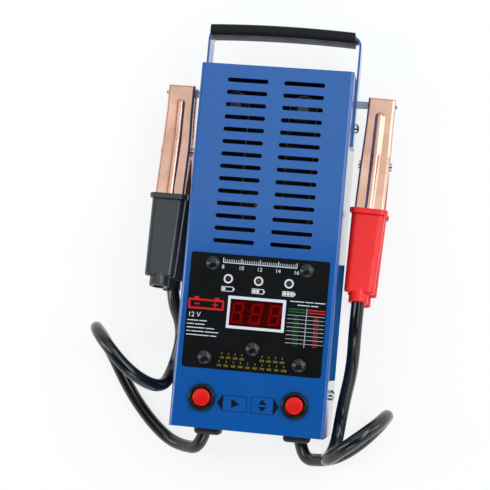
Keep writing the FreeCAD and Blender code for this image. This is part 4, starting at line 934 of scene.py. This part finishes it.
def printTable(work, settings):
    left, right = settings["left"], settings["right"]
    printMarks(work, [((left + right) / 2, y) for y in tableRows], right - left, settings["line"])
    top = settings["middleTop"]
    end = tableRows[-1] - settings["middleBelow"]
    printMarks(work, [(settings["middle"], (end + top) / 2)], settings["middleLine"], top - end)


def printColumn(work, settings, column, finishName):
    for row, y in enumerate(tableRows):
        words = "%.1f" % (column["first"] + row * settings["rise"])
        printWords(work, words, settings["numberHigh"], column["x"], y - settings["pitch"] / 2)
    heads = [(column["headX"], y) for y in settings["headRows"]]
    printMarks(work, heads, column["headWide"], settings["headHigh"], finishName)


# rated voltage and broken lines left of the display, and broken lines over the table
noteSettings = {"left": -46.0, "words": "12 V", "wordsY": -48.6, "wordsHigh": 3.2, "top": -52.4,
                "pitch": 2.45, "line": 0.55, "gap": 0.8,
                "rows": ((7.4, 5.2), (4.8, 6.4), (12.2, 5.8), (2.4, 8.6, 9.2), (15.6, 4.2)),
                "overTable": ((22.4, -34.2, (9.4, 5.6, 7.2)), (27.6, -36.5, (8.2, 5.0)))}


def brokenLine(work, left, y, lengths):
    for wide in lengths:
        printMarks(work, [(left + wide / 2, y)], wide, noteSettings["line"])
        left += wide + noteSettings["gap"]


def printNotes(work, settings):
    printWords(work, settings["words"], settings["wordsHigh"], settings["left"], settings["wordsY"], "LEFT")
    for row, lengths in enumerate(settings["rows"]):
        brokenLine(work, settings["left"], settings["top"] - row * settings["pitch"], lengths)
    for left, y, lengths in settings["overTable"]:
        brokenLine(work, left, y, lengths)


whiteWork = bmesh.new()
printRings(whiteWork, ringSettings)
printSurround(whiteWork, surroundSettings)
printScale(whiteWork, scaleSettings)
printLevels(whiteWork, levelSettings)
printTable(whiteWork, tableSettings)
printNotes(whiteWork, noteSettings)
addPiece("whitePrint", finishMesh(whiteWork, "whitePrint"), "whiteInk")
for tint, column in tableSettings["columns"].items():
    columnWork = bmesh.new()
    printColumn(columnWork, tableSettings, column, tint + "Ink")
    addPiece(tint + "Print", finishMesh(columnWork, tint + "Print"), tint + "Ink")
print("white, green and red print placed")

# red battery sign left of the display, with a minus and a plus
signSettings = {"box": (-46.4, -44.6, -22.0, -37.6), "line": 1.3, "round": 0.8, "innerRound": 0.3,
                "roundSteps": 4, "minus": -40.4, "plus": -28.0, "reach": 1.8, "stroke": 0.9,
                "poles": (-42.6, -28.6), "poleWide": 3.2, "poleHigh": 1.4}


def printSign(work, settings):
    low, top = settings["box"][1], settings["box"][3]
    middle = (low + top) / 2
    reach, half = settings["reach"], settings["stroke"] / 2
    printBorder(work, settings["box"], settings)
    for x in (settings["minus"], settings["plus"]):
        addBlock(work, (x - reach, middle - half, inkLow), (x + reach, middle + half, inkHigh))
    x = settings["plus"]
    addBlock(work, (x - half, middle + half, inkLow), (x + half, middle + reach, inkHigh))
    addBlock(work, (x - half, middle - reach, inkLow), (x + half, middle - half, inkHigh))
    for x in settings["poles"]:
        addBlock(work, (x, top, inkLow), (x + settings["poleWide"], top + settings["poleHigh"], inkHigh))


signWork = bmesh.new()
printSign(signWork, signSettings)
addPiece("redSign", finishMesh(signWork, "redSign"), "redInk")

# yellow range scale along the foot of the label; the first row leaves room for a rivet
rangeSettings = {"count": 10, "tick": (0.35, 1.5), "numberHigh": 1.5, "rise": 100,
                 "rows": ({"y": -73.2, "numberY": -75.9, "half": 20.5, "clear": 5.5},
                          {"y": -78.6, "numberY": -81.3, "half": 22.0, "clear": 0.0})}


def printRange(work, settings):
    for row in settings["rows"]:
        step = 2 * row["half"] / (settings["count"] - 1)
        ticks = [-row["half"] + i * step for i in range(settings["count"])]
        ticks = [x for x in ticks if abs(x) > row["clear"]]
        printMarks(work, [(x, row["y"]) for x in ticks], *settings["tick"], "yellowInk")
        for number, x in enumerate(ticks, start=1):
            printWords(work, str(number * settings["rise"]), settings["numberHigh"], x, row["numberY"])


rangeWork = bmesh.new()
printRange(rangeWork, rangeSettings)
addPiece("yellowPrint", finishMesh(rangeWork, "yellowPrint"), "yellowInk")

# black boxes with arrow heads beside the buttons: a start sign on the left, up and down on the right
arrowSettings = {
    "line": 0.35,
    "boxes": ({"box": (-17.2, -111.4, -0.7, -100.6), "tip": (-20.9, -105.9)},
              {"box": (2.1, -111.2, 17.4, -100.0), "tip": (21.0, -105.7)}),
    "start": [(-11.2, -109.0), (-5.4, -106.0), (-11.2, -103.0)],
    "up": [(6.9, -105.0), (12.7, -105.0), (9.8, -101.6)],
    "down": [(6.9, -106.4), (9.8, -109.8), (12.7, -106.4)],
}


def printArrows(work, settings):
    low, high = panelFace, panelFace + printSettings["thick"]
    line = settings["line"]
    for arrow in settings["boxes"]:
        x0, y0, x1, y1 = arrow["box"]
        outer = [(x0, y0), (x1, y0), (x1, y1), (x0, y1)]
        inner = [(x0 + line, y0 + line), (x1 - line, y0 + line),
                 (x1 - line, y1 - line), (x0 + line, y1 - line)]
        addFrameLoop(work, outer, inner, low, high)
        root = [(x0, y0), (x0, y1)] if arrow["tip"][0] < x0 else [(x1, y1), (x1, y0)]  # anticlockwise
        addOutline(work, root + [arrow["tip"]], low, high)
    for sign in ("start", "up", "down"):
        addOutline(work, settings[sign], low, high)


arrowWork = bmesh.new()
printArrows(arrowWork, arrowSettings)
addPiece("panelPrint", finishMesh(arrowWork, "panelPrint"), "blackInk")

# bare patch on the right side wall: its outline in y and z, then turned to face right
patchSettings = {"wall": 52.5, "thick": 0.12, "low": -85.3, "high": -2.4, "back": 2.5, "front": 71.5,
                 "lean": 4.7}


def sidePatch(settings):
    work = bmesh.new()
    low, high = settings["low"], settings["high"]
    back, front = settings["back"], settings["front"]
    corners = [(low, back), (high, back), (high - settings["lean"], front), (low, front)]
    addOutline(work, corners, 0, settings["thick"])
    mesh = finishMesh(work, "sidePatch")
    mesh.transform(Matrix(((0, 0, 1, settings["wall"] * mm), (1, 0, 0, 0), (0, 1, 0, 0), (0, 0, 0, 1))))
    return mesh


addPiece("sidePatch", sidePatch(patchSettings), "patchBlue")
print("printing placed")
